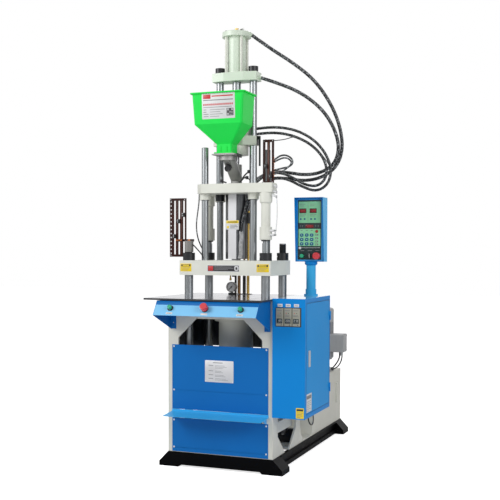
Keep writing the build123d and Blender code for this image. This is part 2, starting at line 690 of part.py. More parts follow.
def switchgear():
    """Contactors and relays on rails, all on one mounting plate."""
    x0 = CABINET_X + SHEET
    y0, y1 = CABINET_FRONT_Y + 120, CABINET_FRONT_Y + CABINET_D - 30
    gear = block(x0, x0 + 3, y0, y1, CABINET_LOW_Z + 60, CABINET_TOP_Z - 60)
    for row in range(3):
        z = CABINET_LOW_Z + 150 + row * 170
        gear += block(x0 + 3, x0 + 11, y0 + 10, y1 - 10, z - 17, z + 17)
        for i in range(4):
            y = y0 + 50 + i * 72
            gear += block(x0 + 11, x0 + 80 - 10 * row, y - 26, y + 26, z - 42, z + 42)
    return gear


# Pendant on its post

def pendant_post():
    post = rod(POST_X, POST_Y, CABINET_TOP_Z, POST_TOP_Z, POST_R)
    post += rod(POST_X, POST_Y, CABINET_TOP_Z, CABINET_TOP_Z + POST_FLANGE_H, POST_FLANGE_R)
    post += rod(POST_X, POST_Y, CABINET_TOP_Z, CABINET_TOP_Z + POST_COLLAR_H, POST_COLLAR_R)
    return post + rod(POST_X, POST_Y, POST_TOP_Z, POST_TOP_Z + SPIGOT_H, SPIGOT_R)


def pendant_side(front, low, high):
    rear = PENDANT_FRONT_Y + PENDANT_D
    slope = PENDANT_SLOPE
    return [(front + slope, low), (front, high), (rear, high), (rear, low)]


def pendant_box():
    x0, x1 = POST_X - PENDANT_W / 2, POST_X + PENDANT_W / 2
    z0, z1 = PENDANT_LOW_Z, PENDANT_LOW_Z + PENDANT_H
    rear = PENDANT_FRONT_Y + PENDANT_D
    box = plate_x(pendant_side(PENDANT_FRONT_Y, z0, z1), x0, x1)
    box -= block(x0 + SHEET, x1 - SHEET, PENDANT_FRONT_Y - 10, rear - SHEET, z0 + SHEET, z1 - SHEET)
    hub = rod(POST_X, POST_Y, POST_TOP_Z + 0.3, z0, PENDANT_HUB_R)
    hub = chamfer(hub.edges().sort_by(Axis.Z)[0], 7)
    box += hub
    return box - rod(POST_X, POST_Y, POST_TOP_Z, POST_TOP_Z + SPIGOT_H + 1, SPIGOT_R + RUN_FIT)


def pendant_plane(x, z):
    y = PENDANT_FRONT_Y + PENDANT_SLOPE + PANEL_SET_BACK
    return Plane(origin=(x, y, z), x_dir=(1, 0, 0), z_dir=(0, -1, 0))


def pendant_panel():
    x0, x1 = POST_X - PENDANT_W / 2 + SHEET, POST_X + PENDANT_W / 2 - SHEET
    z0, z1 = PENDANT_LOW_Z + SHEET, PENDANT_LOW_Z + PENDANT_H - SHEET
    y = PENDANT_FRONT_Y + PENDANT_SLOPE + PANEL_SET_BACK
    panel = block(x0, x1, y, y + SHEET, z0, z1)
    for i, r in enumerate((BUTTON_STEM_R, BUTTON_STEM_R, STOP_STEM_R)):
        x = PENDANT_START_X + i * PENDANT_PITCH
        panel -= rod_y(x, PENDANT_ROW_Z, y - 1, y + SHEET + 1, r + RUN_FIT)
    return panel


def pendant_selector():
    """Round selector knob with a raised grip bar."""
    plane = pendant_plane(PENDANT_START_X + PENDANT_PITCH, PENDANT_ROW_Z)
    knob = Pos(0, 0, 4) * Cylinder(13, 6) + Pos(0, 0, 10) * Box(7, 24, 10)
    stem = Pos(0, 0, -7) * Cylinder(BUTTON_STEM_R, 18) + Pos(0, 0, -17) * Cylinder(BUTTON_STEM_R + 3, 3)
    return plane * (knob + stem)


# Clamp unit

def clamp_cylinder():
    z0, z1 = CLAMP_CYL_LOW_Z, BED_TOP - BED_T
    cylinder = rod(0, AXIS_Y, z0, z1, CLAMP_CYL_R)
    cylinder += rod(0, AXIS_Y, z1 - CLAMP_CYL_FLANGE_T, z1, CLAMP_CYL_FLANGE_R)
    cylinder += rod(0, AXIS_Y, z0, z0 + CYL_END_T, CLAMP_CYL_R + 10)
    cylinder -= rod(0, AXIS_Y, z0 + CYL_END_T, z1 - CYL_END_T, CLAMP_CYL_BORE_R)
    return cylinder - rod(0, AXIS_Y, z0 - 1, z0 + CYL_END_T + 1, CLAMP_ROD_R + RUN_FIT)


def crosshead():
    """Lower crosshead with the clamp piston's rod screwed into it."""
    z0, z1 = CROSSHEAD_LOW_Z, CROSSHEAD_LOW_Z + CROSSHEAD_T
    half_w, half_d = CROSSHEAD_W / 2, CROSSHEAD_D / 2
    head = block(-half_w, half_w, AXIS_Y - half_d, AXIS_Y + half_d, z0, z1)
    head = chamfer(head.edges().filter_by(Axis.Z), 20)
    for x, y in TIE_PLACES:
        head -= rod(x, y, z0 - 1, z1 + 1, TIE_END_R + SEAT_FIT)
    head -= rod(0, AXIS_Y, z0 - 1, z1 + 1, CLAMP_ROD_R - 8 + SEAT_FIT)
    piston_z = CLAMP_CYL_LOW_Z + CYL_END_T + 4
    shaft = rod(0, AXIS_Y, z1, piston_z, CLAMP_ROD_R)
    shaft += rod(0, AXIS_Y, z0, z1, CLAMP_ROD_R - 8)
    shaft += rod(0, AXIS_Y, piston_z, piston_z + CLAMP_PISTON_T, CLAMP_CYL_BORE_R - RUN_FIT)
    return head, shaft


def tie_bar(x, y):
    """Shouldered tie bar; on two of them the end carries a carriage cylinder's piston."""
    z0 = CROSSHEAD_LOW_Z - NUT_H - 8
    bar = rod(x, y, CROSSHEAD_LOW_Z + CROSSHEAD_T, PLATEN_LOW_Z, TIE_R)
    bar += rod(x, y, z0, CROSSHEAD_LOW_Z + CROSSHEAD_T, TIE_END_R)
    bar += rod(x, y, PLATEN_LOW_Z, STUB_TOP_Z, TIE_END_R)
    if (x, y) in TOUCH_PLACES:
        piston_z = CARRIAGE_LOW_Z - TOUCH_PISTON_T - 12
        bar += rod(x, y, STUB_TOP_Z, piston_z, TOUCH_ROD_R)
        bar += rod(x, y, piston_z, piston_z + TOUCH_PISTON_T, TOUCH_BORE_R - RUN_FIT)
    return bar


def tie_bar_nut(x, y, z):
    nut = rod(x, y, z, z + NUT_H, NUT_R) - rod(x, y, z - 1, z + NUT_H + 1, TIE_END_R)
    return nut - block(x - NUT_R, x - TIE_END_R - 4, y - NUT_R, y + NUT_R,
                       z + NUT_H / 2 - 1.5, z + NUT_H / 2 + 1.5)


def tie_bar_bush(x, y):
    z1 = BED_TOP
    bush = rod(x, y, z1 - BUSH_H, z1, BUSH_R) - rod(x, y, z1 - BUSH_H - 1, z1 + 1, TIE_R + RUN_FIT)
    return bush


def moving_platen():
    half_w, half_d = PLATEN_W / 2, PLATEN_D / 2
    y0, y1 = AXIS_Y - half_d, AXIS_Y + half_d
    platen = block(-half_w, half_w, y0, y1, PLATEN_LOW_Z, PLATEN_TOP)
    edges = platen.edges().filter_by(Axis.Z)
    platen = fillet(edges.group_by(Axis.Y)[-1], 36)
    platen = fillet(platen.edges().filter_by(Axis.Z).group_by(Axis.Y)[0], 6)
    platen -= rod(0, AXIS_Y, PLATEN_LOW_Z - 1, PLATEN_TOP + 1, PLATEN_HOLE_R)
    for x, y in TIE_PLACES:
        platen -= rod(x, y, PLATEN_LOW_Z - 1, PLATEN_TOP + 1, TIE_END_R + SEAT_FIT)
    for x, y in COLUMN_PLACES:
        platen -= rod(x, y, PLATEN_TOP - COLUMN_SEAT_H, PLATEN_TOP + 1, COLUMN_SEAT_R + SEAT_FIT)
    return platen


def guide_column(x, y):
    column = rod(x, y, PLATEN_TOP, COLUMN_TOP_Z, COLUMN_R)
    column = chamfer(column.edges().sort_by(Axis.Z)[-1], 2)
    return column + rod(x, y, PLATEN_TOP - COLUMN_SEAT_H, PLATEN_TOP, COLUMN_SEAT_R)


def board(x0, width, y0, z0, height, slot_xs):
    """Slotted insulating board."""
    plate = block(x0, x0 + width, y0, y0 + BOARD_T, z0, z0 + height)
    for x in slot_xs:
        plate -= block(x - BOARD_SLOT_W / 2, x + BOARD_SLOT_W / 2, y0 - 1, y0 + BOARD_T + 1,
                       z0 + 14, z0 + height - 14)
    return plate


def switch_dog(x, y0, z):
    """Small switch body clamped through a slot by its screw and nut."""
    body = block(x - 9, x + 9, y0 - 12, y0, z - 12, z + 12)
    screw = rod_y(x, z, y0, y0 + BOARD_T, 4)
    nut = block(x - 9, x + 9, y0 + BOARD_T, y0 + BOARD_T + 5, z - 7, z + 7)
    return body + screw + nut


def left_switch_board():
    """Board behind the front left tie bar, on a bar that is clamped to a cap on that bar's end."""
    x, y = TIE_PLACES[0]
    x0 = x - LEFT_BOARD_OFFSET - LEFT_BOARD_W
    y0 = y + LEFT_BOARD_SET_BACK
    z0 = LEFT_BOARD_LOW_Z
    slots = [x0 + 31, x0 + 58, x0 + 88]
    plate = board(x0, LEFT_BOARD_W, y0, z0, LEFT_BOARD_H, slots)
    cap_z = PLATEN_TOP + NUT_H + 4
    cap_top = cap_z + STUB_CAP_H
    cap = rod(x, y, cap_z, cap_top, STUB_CAP_R) - rod(x, y, cap_z - 1, STUB_TOP_Z, TIE_END_R + SEAT_FIT)
    y1 = y0 + BOARD_T
    bar = block(x - 8, x + 8, y, y1 + BOARD_BAR_T, cap_top, cap_top + BOARD_BAR_T)
    bar += block(slots[1] - 8, x + 8, y1, y1 + BOARD_BAR_T, cap_top - 4, cap_top - 4 + BOARD_BAR_W)
    dogs = [switch_dog(slots[i], y0, z0 + dz) for i, dz in enumerate((117, 203, 239))]
    return [plate, cap, bar] + dogs


# Carriage: plate with guide bosses, nozzle-touch cylinders, rods and top plate

def carriage_outline():
    half = [(-CARRIAGE_NOSE_X, -CARRIAGE_HALF_D), (CARRIAGE_HALF_W, -CARRIAGE_HALF_D),
            (CARRIAGE_HALF_W, -CARRIAGE_HALF_D + CARRIAGE_EAR_D), (CARRIAGE_SHOULDER_X, CARRIAGE_WAIST_DY),
            (CARRIAGE_SHOULDER_X, CARRIAGE_SHOULDER_DY)]
    points = half + [(-x, -y) for x, y in half]
    return [(x, AXIS_Y + y) for x, y in points]


def carriage_plate():
    z0, z1 = CARRIAGE_LOW_Z, CARRIAGE_TOP
    plate = plate_z(carriage_outline(), z0, z1)
    for x, y in COLUMN_PLACES:
        boss = rod(x, y, z0 - BOSS_H, z0, BOSS_R)
        plate += boss
    for x, y in COLUMN_PLACES:
        plate -= rod(x, y, z0 - BOSS_H - 1, z1 + 1, COLUMN_R + RUN_FIT)
    plate -= rod(0, AXIS_Y, z0 - 1, z1 + 1, BARREL_R + SEAT_FIT)
    for side in (-1, 1):
        plate -= rod(side * ROD_X, AXIS_Y, z0 - 1, z1 + 1, ROD_END_R + SEAT_FIT)
    return plate


def touch_cylinder(x, y):
    """White cylinder under the carriage plate that presses the nozzle on to the mould."""
    z1 = CARRIAGE_LOW_Z
    boss = rod(x, y, z1 - TOUCH_BOSS_H, z1, TOUCH_BOSS_R)
    boss = chamfer(boss.edges().sort_by(Axis.Z)[0], 9)
    body = boss + rod(x, y, TOUCH_TUBE_LOW_Z, z1 - TOUCH_BOSS_H, TOUCH_TUBE_R)
    cap = rod(x, y, TOUCH_CAP_LOW_Z, TOUCH_TUBE_LOW_Z, TOUCH_CAP_R)
    cap = chamfer(cap.edges().sort_by(Axis.Z)[0], 3)
    body += cap
    body -= rod(x, y, TOUCH_CAP_LOW_Z + 30, z1 - 8, TOUCH_BORE_R)
    return body - rod(x, y, TOUCH_CAP_LOW_Z - 1, TOUCH_CAP_LOW_Z + 31, TOUCH_ROD_R + RUN_FIT)


def injection_rod(side):
    x = side * ROD_X
    bar = rod(x, AXIS_Y, CARRIAGE_TOP, TOP_PLATE_LOW_Z, ROD_R)
    bar += rod(x, AXIS_Y, CARRIAGE_LOW_Z - ROD_NUT_H - 2, CARRIAGE_TOP, ROD_END_R)
    return bar + rod(x, AXIS_Y, TOP_PLATE_LOW_Z, TOP_PLATE_TOP + TOP_NUT_H - 5, ROD_END_R)


def injector_fasteners():
    """Nuts of the two rods, and the cylinder's four tie rods with their nuts."""
    pieces = []
    for side in (-1, 1):
        x = side * ROD_X
        z = CARRIAGE_LOW_Z - ROD_NUT_H
        low = rod(x, AXIS_Y, z, CARRIAGE_LOW_Z, ROD_NUT_R) - rod(x, AXIS_Y, z - 1, CARRIAGE_LOW_Z, ROD_END_R)
        high = rod(x, AXIS_Y, TOP_PLATE_TOP, TOP_PLATE_TOP + TOP_NUT_H, TOP_NUT_R)
        high -= rod(x, AXIS_Y, TOP_PLATE_TOP, TOP_PLATE_TOP + TOP_NUT_H - 5, ROD_END_R)
        pieces += [low, high]
    for sx in (-1, 1):
        for sy in (-1, 1):
            x, y = sx * CYL_ROD_OFFSET, AXIS_Y + sy * CYL_ROD_OFFSET
            tie = rod(x, y, TOP_PLATE_TOP, CYL_TOP, CYL_ROD_R)
            pieces.append(tie)
    return pieces


def cross_plate_outline(half_w, end_half_d, half_d):
    """Outline of a plate that is narrower at its two ends than in its middle."""
    points = []
    for sx, sy in ((1, -1), (1, 1), (-1, 1), (-1, -1)):
        corner = [(sx * PLATE_FRONT_X, sy * half_d), (sx * half_w, sy * end_half_d)]
        points += corner if sx * sy < 0 else corner[::-1]
    return [(x, AXIS_Y + y) for x, y in points]


def top_plate():
    z0, z1 = TOP_PLATE_LOW_Z, TOP_PLATE_TOP
    plate = plate_z(cross_plate_outline(TOP_PLATE_HALF_W, TOP_PLATE_END_HALF_D, TOP_PLATE_HALF_D), z0, z1)
    plate += spigot(HOSE_PLATE, FERRULE_R, SPIGOT_L)
    plate -= rod(0, AXIS_Y, z0 - 1, z1 + 1, PISTON_ROD_R + RUN_FIT)
    for side in (-1, 1):
        plate -= rod(side * ROD_X, AXIS_Y, z0 - 1, z1 + 1, ROD_END_R + SEAT_FIT)
    return plate


def injection_cylinder():
    tube = rod(0, AXIS_Y, TOP_PLATE_TOP, CYL_TOP, CYL_TUBE_R)
    return tube - rod(0, AXIS_Y, TOP_PLATE_TOP - 1, CYL_TOP + 1, CYL_BORE_R)


def cylinder_cap():
    cap = rod(0, AXIS_Y, CYL_TOP, CYL_TOP + CYL_CAP_T, CYL_CAP_R)
    cap = fillet(cap.edges().sort_by(Axis.Z)[-1], 4)
    plug = rod(0, AXIS_Y, CYL_TOP + CYL_CAP_T, CYL_TOP + CYL_CAP_T + PLUG_H, PLUG_R)
    return cap + plug + spigot(HOSE_TOP, FERRULE_R, CAP_SPIGOT_L)


# Injector that slides on the two rods

def injection_plate():
    z0, z1 = INJECT_LOW_Z, INJECT_TOP
    plate = plate_z(cross_plate_outline(INJECT_HALF_W, INJECT_END_HALF_D, INJECT_HALF_D), z0, z1)
    plate += rod(0, AXIS_Y, z0 - HOUSING_H, z0, HOUSING_R)
    for side in (-1, 1):
        plate -= rod(side * ROD_X, AXIS_Y, z0 - 1, z1 + 1, ROD_R + RUN_FIT)
    plate -= rod(0, AXIS_Y, z0 - HOUSING_H - 1, z1 + 1, SCREW_SHANK_R + RUN_FIT)
    half_w, half_d = YOKE_W / 2, YOKE_D / 2
    top = z1 + YOKE_H
    for side in (-1, 1):
        x0, x1 = sorted((side * half_w, side * (half_w - YOKE_T)))
        plate += block(x0, x1, AXIS_Y - half_d, AXIS_Y + half_d, z1, top)
    plate += block(-half_w, half_w, AXIS_Y - half_d, AXIS_Y + half_d, top - 2 * YOKE_T, top)
    x0 = INJECT_HALF_W + FLAG_BRACKET_L
    y0, y1 = AXIS_Y - FLAG_D / 2, AXIS_Y + FLAG_D / 2
    bracket = block(INJECT_HALF_W, x0, y0, y1, z1 - FLAG_BRACKET_H, z1)
    return plate + bracket + block(x0, x0 + FLAG_W, y0, y1, z1 - FLAG_H, z1)


def drive_motor():
    """Hydraulic motor with a port block at its back, whose two fittings point to the right."""
    z0 = INJECT_TOP
    body = rod(0, AXIS_Y, z0, z0 + DRIVE_H, DRIVE_R)
    body += block(-38, 38, AXIS_Y - 38, AXIS_Y + 38, z0, z0 + 22)
    body += block(-4, 34, AXIS_Y + 24, AXIS_Y + 70, z0 + 2, z0 + 68)
    body += spigot(HOSE_MOTOR_A, MOTOR_FERRULE_R, SPIGOT_L)
    body += spigot(HOSE_MOTOR_B, MOTOR_FERRULE_R, SPIGOT_L)
    return body - rod(0, AXIS_Y, z0 - 1, z0 + 44, SCREW_SHANK_R - 5 + RUN_FIT)


def piston_rod():
    z0 = INJECT_TOP + YOKE_H
    shaft = rod(0, AXIS_Y, z0, TOP_PLATE_TOP + 8, PISTON_ROD_R)
    return shaft + rod(0, AXIS_Y, TOP_PLATE_TOP + 8, TOP_PLATE_TOP + 8 + PISTON_T, CYL_BORE_R - RUN_FIT)


def feed_screw():
    """Screw with its shank in the bearing housing and its splined end in the drive motor."""
    throat_top = THROAT_TOP_Z + 8
    screw = rod(0, AXIS_Y, NOZZLE_TIP_Z + 100, throat_top, FEED_SCREW_R - RUN_FIT)
    screw += rod(0, AXIS_Y, throat_top, INJECT_TOP, SCREW_SHANK_R)
    screw += rod(0, AXIS_Y, INJECT_TOP, INJECT_TOP + 40, SCREW_SHANK_R - 5)
    tip = Pos(0, AXIS_Y, NOZZLE_TIP_Z + 90) * Cone(4, FEED_SCREW_R - RUN_FIT, 20)
    return screw + tip


# Barrel group under the carriage plate

def barrel():
    tube = rod(0, AXIS_Y, BARREL_LOW_Z, CARRIAGE_TOP, BARREL_R)
    tube -= rod(0, AXIS_Y, BARREL_LOW_Z - 1, CARRIAGE_TOP + 1, FEED_SCREW_R)
    nose_top = BARREL_LOW_Z - 40
    nose = Pos(0, AXIS_Y, (NOZZLE_TIP_Z + nose_top) / 2) * Cone(9, NOZZLE_R, nose_top - NOZZLE_TIP_Z)
    nozzle = nose + rod(0, AXIS_Y, BARREL_LOW_Z - 40, BARREL_LOW_Z, NOZZLE_R + 6)
    nozzle -= rod(0, AXIS_Y, NOZZLE_TIP_Z - 1, BARREL_LOW_Z + 1, 3)
    nozzle -= Pos(0, AXIS_Y, BARREL_LOW_Z - 5) * Cone(3, FEED_SCREW_R, 10.2)
    return tube, nozzle


def heater_band(i):
    z0 = BARREL_LOW_Z + BAND_GAP + i * (BAND_H + BAND_GAP)
    band = rod(0, AXIS_Y, z0, z0 + BAND_H, BAND_R) - rod(0, AXIS_Y, z0 - 1, z0 + BAND_H + 1, BARREL_R)
    return band + block(-9, 9, AXIS_Y + BAND_R - 4, AXIS_Y + BAND_R + 14, z0 + 12, z0 + BAND_H - 12)


def barrel_guard():
    w, f = GUARD_W / 2, GUARD_FRONT_W / 2
    y0 = AXIS_Y - GUARD_FRONT_DY
    outer = [(-f, y0), (f, y0), (w, y0 + GUARD_CHAMFER_D), (w, y0 + GUARD_D),
             (-w, y0 + GUARD_D), (-w, y0 + GUARD_CHAMFER_D)]
    t = GUARD_T
    inner = [(-f + t / 2, y0 + t), (f - t / 2, y0 + t), (w - t, y0 + GUARD_CHAMFER_D + t / 2),
             (w - t, y0 + GUARD_D + 1), (-w + t, y0 + GUARD_D + 1), (-w + t, y0 + GUARD_CHAMFER_D + t / 2)]
    return plate_z(outer, GUARD_LOW_Z, CARRIAGE_LOW_Z) - plate_z(inner, GUARD_LOW_Z - 1, CARRIAGE_LOW_Z + 1)


def feed_throat():
    """Cast throat: a head round the screw, a slanting inlet leg, a top flange and a drain spout."""
    head = rod(0, AXIS_Y, CARRIAGE_TOP, THROAT_TOP_Z, THROAT_R)
    foot = rod(0, AXIS_Y, CARRIAGE_TOP, CARRIAGE_TOP + THROAT_FOOT_H, THROAT_R + THROAT_FOOT_LIP)
    start = Vector(0, NECK_Y + THROAT_MOUTH_BACK, THROAT_FLANGE_Z)
    end = Vector(0, AXIS_Y, CARRIAGE_TOP + THROAT_LEG_END_H)
    along = (end - start).normalized()
    leg_plane = Plane(origin=start - along * 30, z_dir=along, x_dir=(1, 0, 0))
    leg_length = (end - start).length + 30
    leg = extrude(leg_plane * Circle(THROAT_LEG_R), leg_length)
    leg -= block(-90, 90, NECK_Y - 150, AXIS_Y + 60, THROAT_FLANGE_Z, THROAT_FLANGE_Z + 120)
    y0 = NECK_Y - NECK_W / 2 - 12
    flange = block(-THROAT_FLANGE_W / 2, THROAT_FLANGE_W / 2, y0, y0 + THROAT_FLANGE_D,
                   THROAT_FLANGE_Z, THROAT_FLANGE_Z + THROAT_FLANGE_T)
    collar = rod(0, NECK_Y + THROAT_MOUTH_BACK, THROAT_FLANGE_Z - THROAT_COLLAR_H, THROAT_FLANGE_Z,
                 THROAT_COLLAR_R)
    spout_plane = Plane(origin=start + along * SPOUT_ALONG, z_dir=SPOUT_DIRECTION, x_dir=(1, 0, 0))
    spout = extrude(spout_plane * Circle(SPOUT_R), SPOUT_L)
    half, z1 = NECK_FLANGE_W / 2, THROAT_FLANGE_Z + THROAT_FLANGE_T
    flange += block(-half, half, NECK_Y - half, GATE_FRONT_Y - GATE_GAP, z1, NECK_FLANGE_Z)
    flange += block(-half, half, GATE_REAR_Y + GATE_GAP, NECK_Y + half, z1, NECK_FLANGE_Z)
    body = head + foot + leg + collar + flange + spout
    bore = extrude(leg_plane * Circle(THROAT_BORE_R), leg_length + 4)
    body -= bore
    body -= rod(0, AXIS_Y, CARRIAGE_TOP - 1, THROAT_TOP_Z + 1, FEED_SCREW_R)
    return body


def rounded_frame(width, depth, y, z, radius):
    return Plane(origin=(0, y, z)) * RectangleRounded(width, depth, radius)


def hopper():
    """Moulded hopper: a box with rounded corners, a funnel, a square neck and a flared rim."""
    def lofted(wall):
        w, d = HOPPER_W - 2 * wall, HOPPER_D - 2 * wall
        r = HOPPER_CORNER_R - wall
        low = (w - HOPPER_TAPER, d - HOPPER_TAPER)
        neck = NECK_W - 2 * wall
        body = loft([rounded_frame(*low, HOPPER_Y, HOPPER_CREASE_Z, r),
                     rounded_frame(w, d, HOPPER_Y, HOPPER_TOP_Z, r)])
        funnel = loft([rounded_frame(neck, neck, NECK_Y, HOPPER_NECK_TOP_Z, 8),
                       rounded_frame(*low, HOPPER_Y, HOPPER_CREASE_Z, r)])
        stem_low = NECK_FLANGE_Z if wall == 0 else NECK_FLANGE_Z - 1
        stem = extrude(rounded_frame(neck, neck, NECK_Y, stem_low, 8), HOPPER_NECK_TOP_Z - stem_low)
        return body + funnel + stem
    outer = lofted(0)
    rim = extrude(rounded_frame(HOPPER_RIM_W, HOPPER_RIM_D, HOPPER_Y, HOPPER_TOP_Z - HOPPER_RIM_T,
                                HOPPER_CORNER_R + 8), HOPPER_RIM_T)
    foot = extrude(rounded_frame(NECK_FLANGE_W, NECK_FLANGE_W, NECK_Y, NECK_FLANGE_Z, 8), 5)
    inner = lofted(HOPPER_WALL)
    cut = extrude(rounded_frame(HOPPER_W - 2 * HOPPER_WALL, HOPPER_D - 2 * HOPPER_WALL, HOPPER_Y,
                                HOPPER_TOP_Z - 1, HOPPER_CORNER_R - HOPPER_WALL), 5)
    return outer + rim + foot - inner - cut


def hopper_gate():
    """Flat slide that closes the hopper, with a bent-down handle at its right end."""
    z0 = THROAT_FLANGE_Z + THROAT_FLANGE_T + GATE_GAP
    z1 = NECK_FLANGE_Z - GATE_GAP
    x0, x1 = -GATE_INSET, GATE_L - GATE_INSET
    slide = block(x0, x1, GATE_FRONT_Y, GATE_REAR_Y, z0, z1)
    return slide + block(x1 - 4, x1, NECK_Y - 14, NECK_Y + 34, z0 - 16, z1)


def right_switch_board():
    x0 = RIGHT_BOARD_X - RIGHT_BOARD_W / 2
    slots = [x0 + 19, x0 + 46]
    y0 = RIGHT_BOARD_Y
    plate = board(x0, RIGHT_BOARD_W, y0, CARRIAGE_TOP, RIGHT_BOARD_H, slots)
    foot = block(x0, RIGHT_BOARD_X + 13, y0 + BOARD_T, y0 + BOARD_T + 20, CARRIAGE_TOP, CARRIAGE_TOP + 8)
    dogs = [switch_dog(slots[0], y0, CARRIAGE_TOP + 96), switch_dog(slots[1], y0, CARRIAGE_TOP + 40)]
    return [plate + foot] + dogs


# Gauge, pipes, hydraulic power pack

def pressure_gauge():
    stem = block(GAUGE_X - 16, GAUGE_X + 16, GAUGE_Y - 4, GAUGE_Y + 26, TABLE_TOP, TABLE_TOP + 10)
    stem += rod(GAUGE_X, GAUGE_Y + 11, TABLE_TOP + 10, GAUGE_Z - GAUGE_R + 4, 7)
    case = rod_y(GAUGE_X, GAUGE_Z, GAUGE_Y, GAUGE_Y + GAUGE_D, GAUGE_R)
    case -= rod_y(GAUGE_X, GAUGE_Z, GAUGE_Y - 1, GAUGE_Y + 5, GAUGE_R - 3)
    pin_hole = rod_y(GAUGE_X, GAUGE_Z, GAUGE_Y + 4, GAUGE_Y + 12, 1.5 + RUN_FIT)
    return stem + case - pin_hole


def gauge_needle():
    needle = rod_y(GAUGE_X, GAUGE_Z, GAUGE_Y + 1.5, GAUGE_Y + 11, 1.5)
    hub = rod_y(GAUGE_X, GAUGE_Z, GAUGE_Y + 1.5, GAUGE_Y + 3, 4)
    arm = Pos(GAUGE_X, GAUGE_Y + 2.25, GAUGE_Z) * Rot(0, -135, 0) * Pos(0, 0, 6) * Box(3, 1.5, 32)
    return needle + hub + arm


def pipe(route):
    """A pipe that comes up through the table's slot and ends in the ferrule of a hose."""
    x, y, top = route[-1]
    return rod(x, y, PIPE_LOW_Z, top, PIPE_R) + rod(x, y, top - FERRULE_H, top, FERRULE_R)


def pipe_clip(routes, y0, z0):
    x0 = min(route[-1][0] for route in routes) - PIPE_CLIP_MARGIN
    x1 = max(route[-1][0] for route in routes) + PIPE_CLIP_MARGIN
    return block(x0, x1, y0, PIPE_SLOT_Y + PIPE_R + 6, z0, z0 + PIPE_CLIP_H)


def clamp_pipes():
    """Two pipes clipped to the back of the platen, with hose ends on top."""
    clip = pipe_clip((HOSE_TOP, HOSE_PLATE), AXIS_Y + PLATEN_D / 2, PLATEN_LOW_Z + 22)
    return clip + pipe(HOSE_TOP) + pipe(HOSE_PLATE)


def carriage_pipes():
    """Two pipes on a strip that hangs from the back of the carriage plate, with hose ends on top."""
    y0 = AXIS_Y + CARRIAGE_HALF_D
    clip = pipe_clip((HOSE_MOTOR_A, HOSE_MOTOR_B), y0, CARRIAGE_TOP - 6 - HANGER_H - PIPE_CLIP_H)
    x0 = HOSE_MOTOR_B[-1][0] - PIPE_CLIP_MARGIN
    x1 = HOSE_MOTOR_A[-1][0] + PIPE_CLIP_MARGIN
    strip = block(x0, x1, y0, y0 + HANGER_T, CARRIAGE_TOP - 6 - HANGER_H - PIPE_CLIP_H, CARRIAGE_TOP - 6)
    return clip + strip + pipe(HOSE_MOTOR_A) + pipe(HOSE_MOTOR_B)


def motor_housing():
    """Finned motor with a bell housing below, a fan cowl on top and a terminal box on its side."""
    z0 = TANK_TOP
    z1 = z0 + MOTOR_BELL_H
    body = rod(MOTOR_X, MOTOR_Y, z0, z0 + 14, MOTOR_FLANGE_R)
    body += rod(MOTOR_X, MOTOR_Y, z0 + 14, z1, MOTOR_R - 16)
    body += rod(MOTOR_X, MOTOR_Y, z1, MOTOR_BODY_TOP_Z, MOTOR_R)
    for i in range(MOTOR_FINS):
        angle = 360 / MOTOR_FINS * i
        fin = Pos(MOTOR_FIN_R / 2, 0, (z1 + 10 + MOTOR_BODY_TOP_Z) / 2)
        fin *= Box(MOTOR_FIN_R, MOTOR_FIN_T, MOTOR_BODY_TOP_Z - z1 - 10)
        body += Pos(MOTOR_X, MOTOR_Y, 0) * Rot(0, 0, angle) * fin
    cowl = rod(MOTOR_X, MOTOR_Y, MOTOR_BODY_TOP_Z, MOTOR_TOP_Z, COWL_R)
    cowl = fillet(cowl.edges().sort_by(Axis.Z)[-1], 14)
    body += cowl
    body -= rod(MOTOR_X, MOTOR_Y, MOTOR_BODY_TOP_Z + 8, MOTOR_TOP_Z - 4, COWL_R - 5)
    body -= rod(MOTOR_X, MOTOR_Y, z1 + 12, MOTOR_BODY_TOP_Z - 12, ROTOR_R + 3)
    body -= rod(MOTOR_X, MOTOR_Y, z0 - 1, MOTOR_BODY_TOP_Z + 9, MOTOR_SHAFT_R + RUN_FIT)
    out = MOTOR_X + MOTOR_FIN_R
    z = z1 + 110
    box = block(out - 14, out + TERMINAL_OUT, MOTOR_Y - TERMINAL_W / 2, MOTOR_Y + TERMINAL_W / 2,
                z - TERMINAL_H / 2, z + TERMINAL_H / 2)
    box = chamfer(box.edges().filter_by(Axis.X), 6)
    gland = rod(out + TERMINAL_OUT - 24, MOTOR_Y, z - TERMINAL_H / 2 - 24, z - TERMINAL_H / 2, 13)
    return body + box + gland


def motor_rotor():
    """Rotor on its shaft, with the cooling fan under the cowl."""
    z0 = TANK_TOP + MOTOR_BELL_H + 16
    fan_z = MOTOR_BODY_TOP_Z + 24
    rotor = rod(MOTOR_X, MOTOR_Y, TANK_TOP + 6, fan_z + 30, MOTOR_SHAFT_R)
    rotor += rod(MOTOR_X, MOTOR_Y, z0, MOTOR_BODY_TOP_Z - 16, ROTOR_R)
    rotor += rod(MOTOR_X, MOTOR_Y, fan_z, fan_z + 24, 26)
    for i in range(FAN_BLADES):
        blade = Pos(52, 0, fan_z + 12) * Box(60, 4, 24)
        rotor += Pos(MOTOR_X, MOTOR_Y, 0) * Rot(0, 0, 360 / FAN_BLADES * i) * blade
    return rotor


def hydraulic_pump():
    z1 = TANK_TOP
    body = rod(MOTOR_X, MOTOR_Y, z1 - PUMP_H, z1, PUMP_R)
    body += rod(MOTOR_X, MOTOR_Y, z1 - PUMP_H - 50, z1 - PUMP_H, 20)
    return body + block(MOTOR_X - 40, MOTOR_X + 40, MOTOR_Y - 46, MOTOR_Y + 46,
                        z1 - PUMP_H - 14, z1 - PUMP_H)


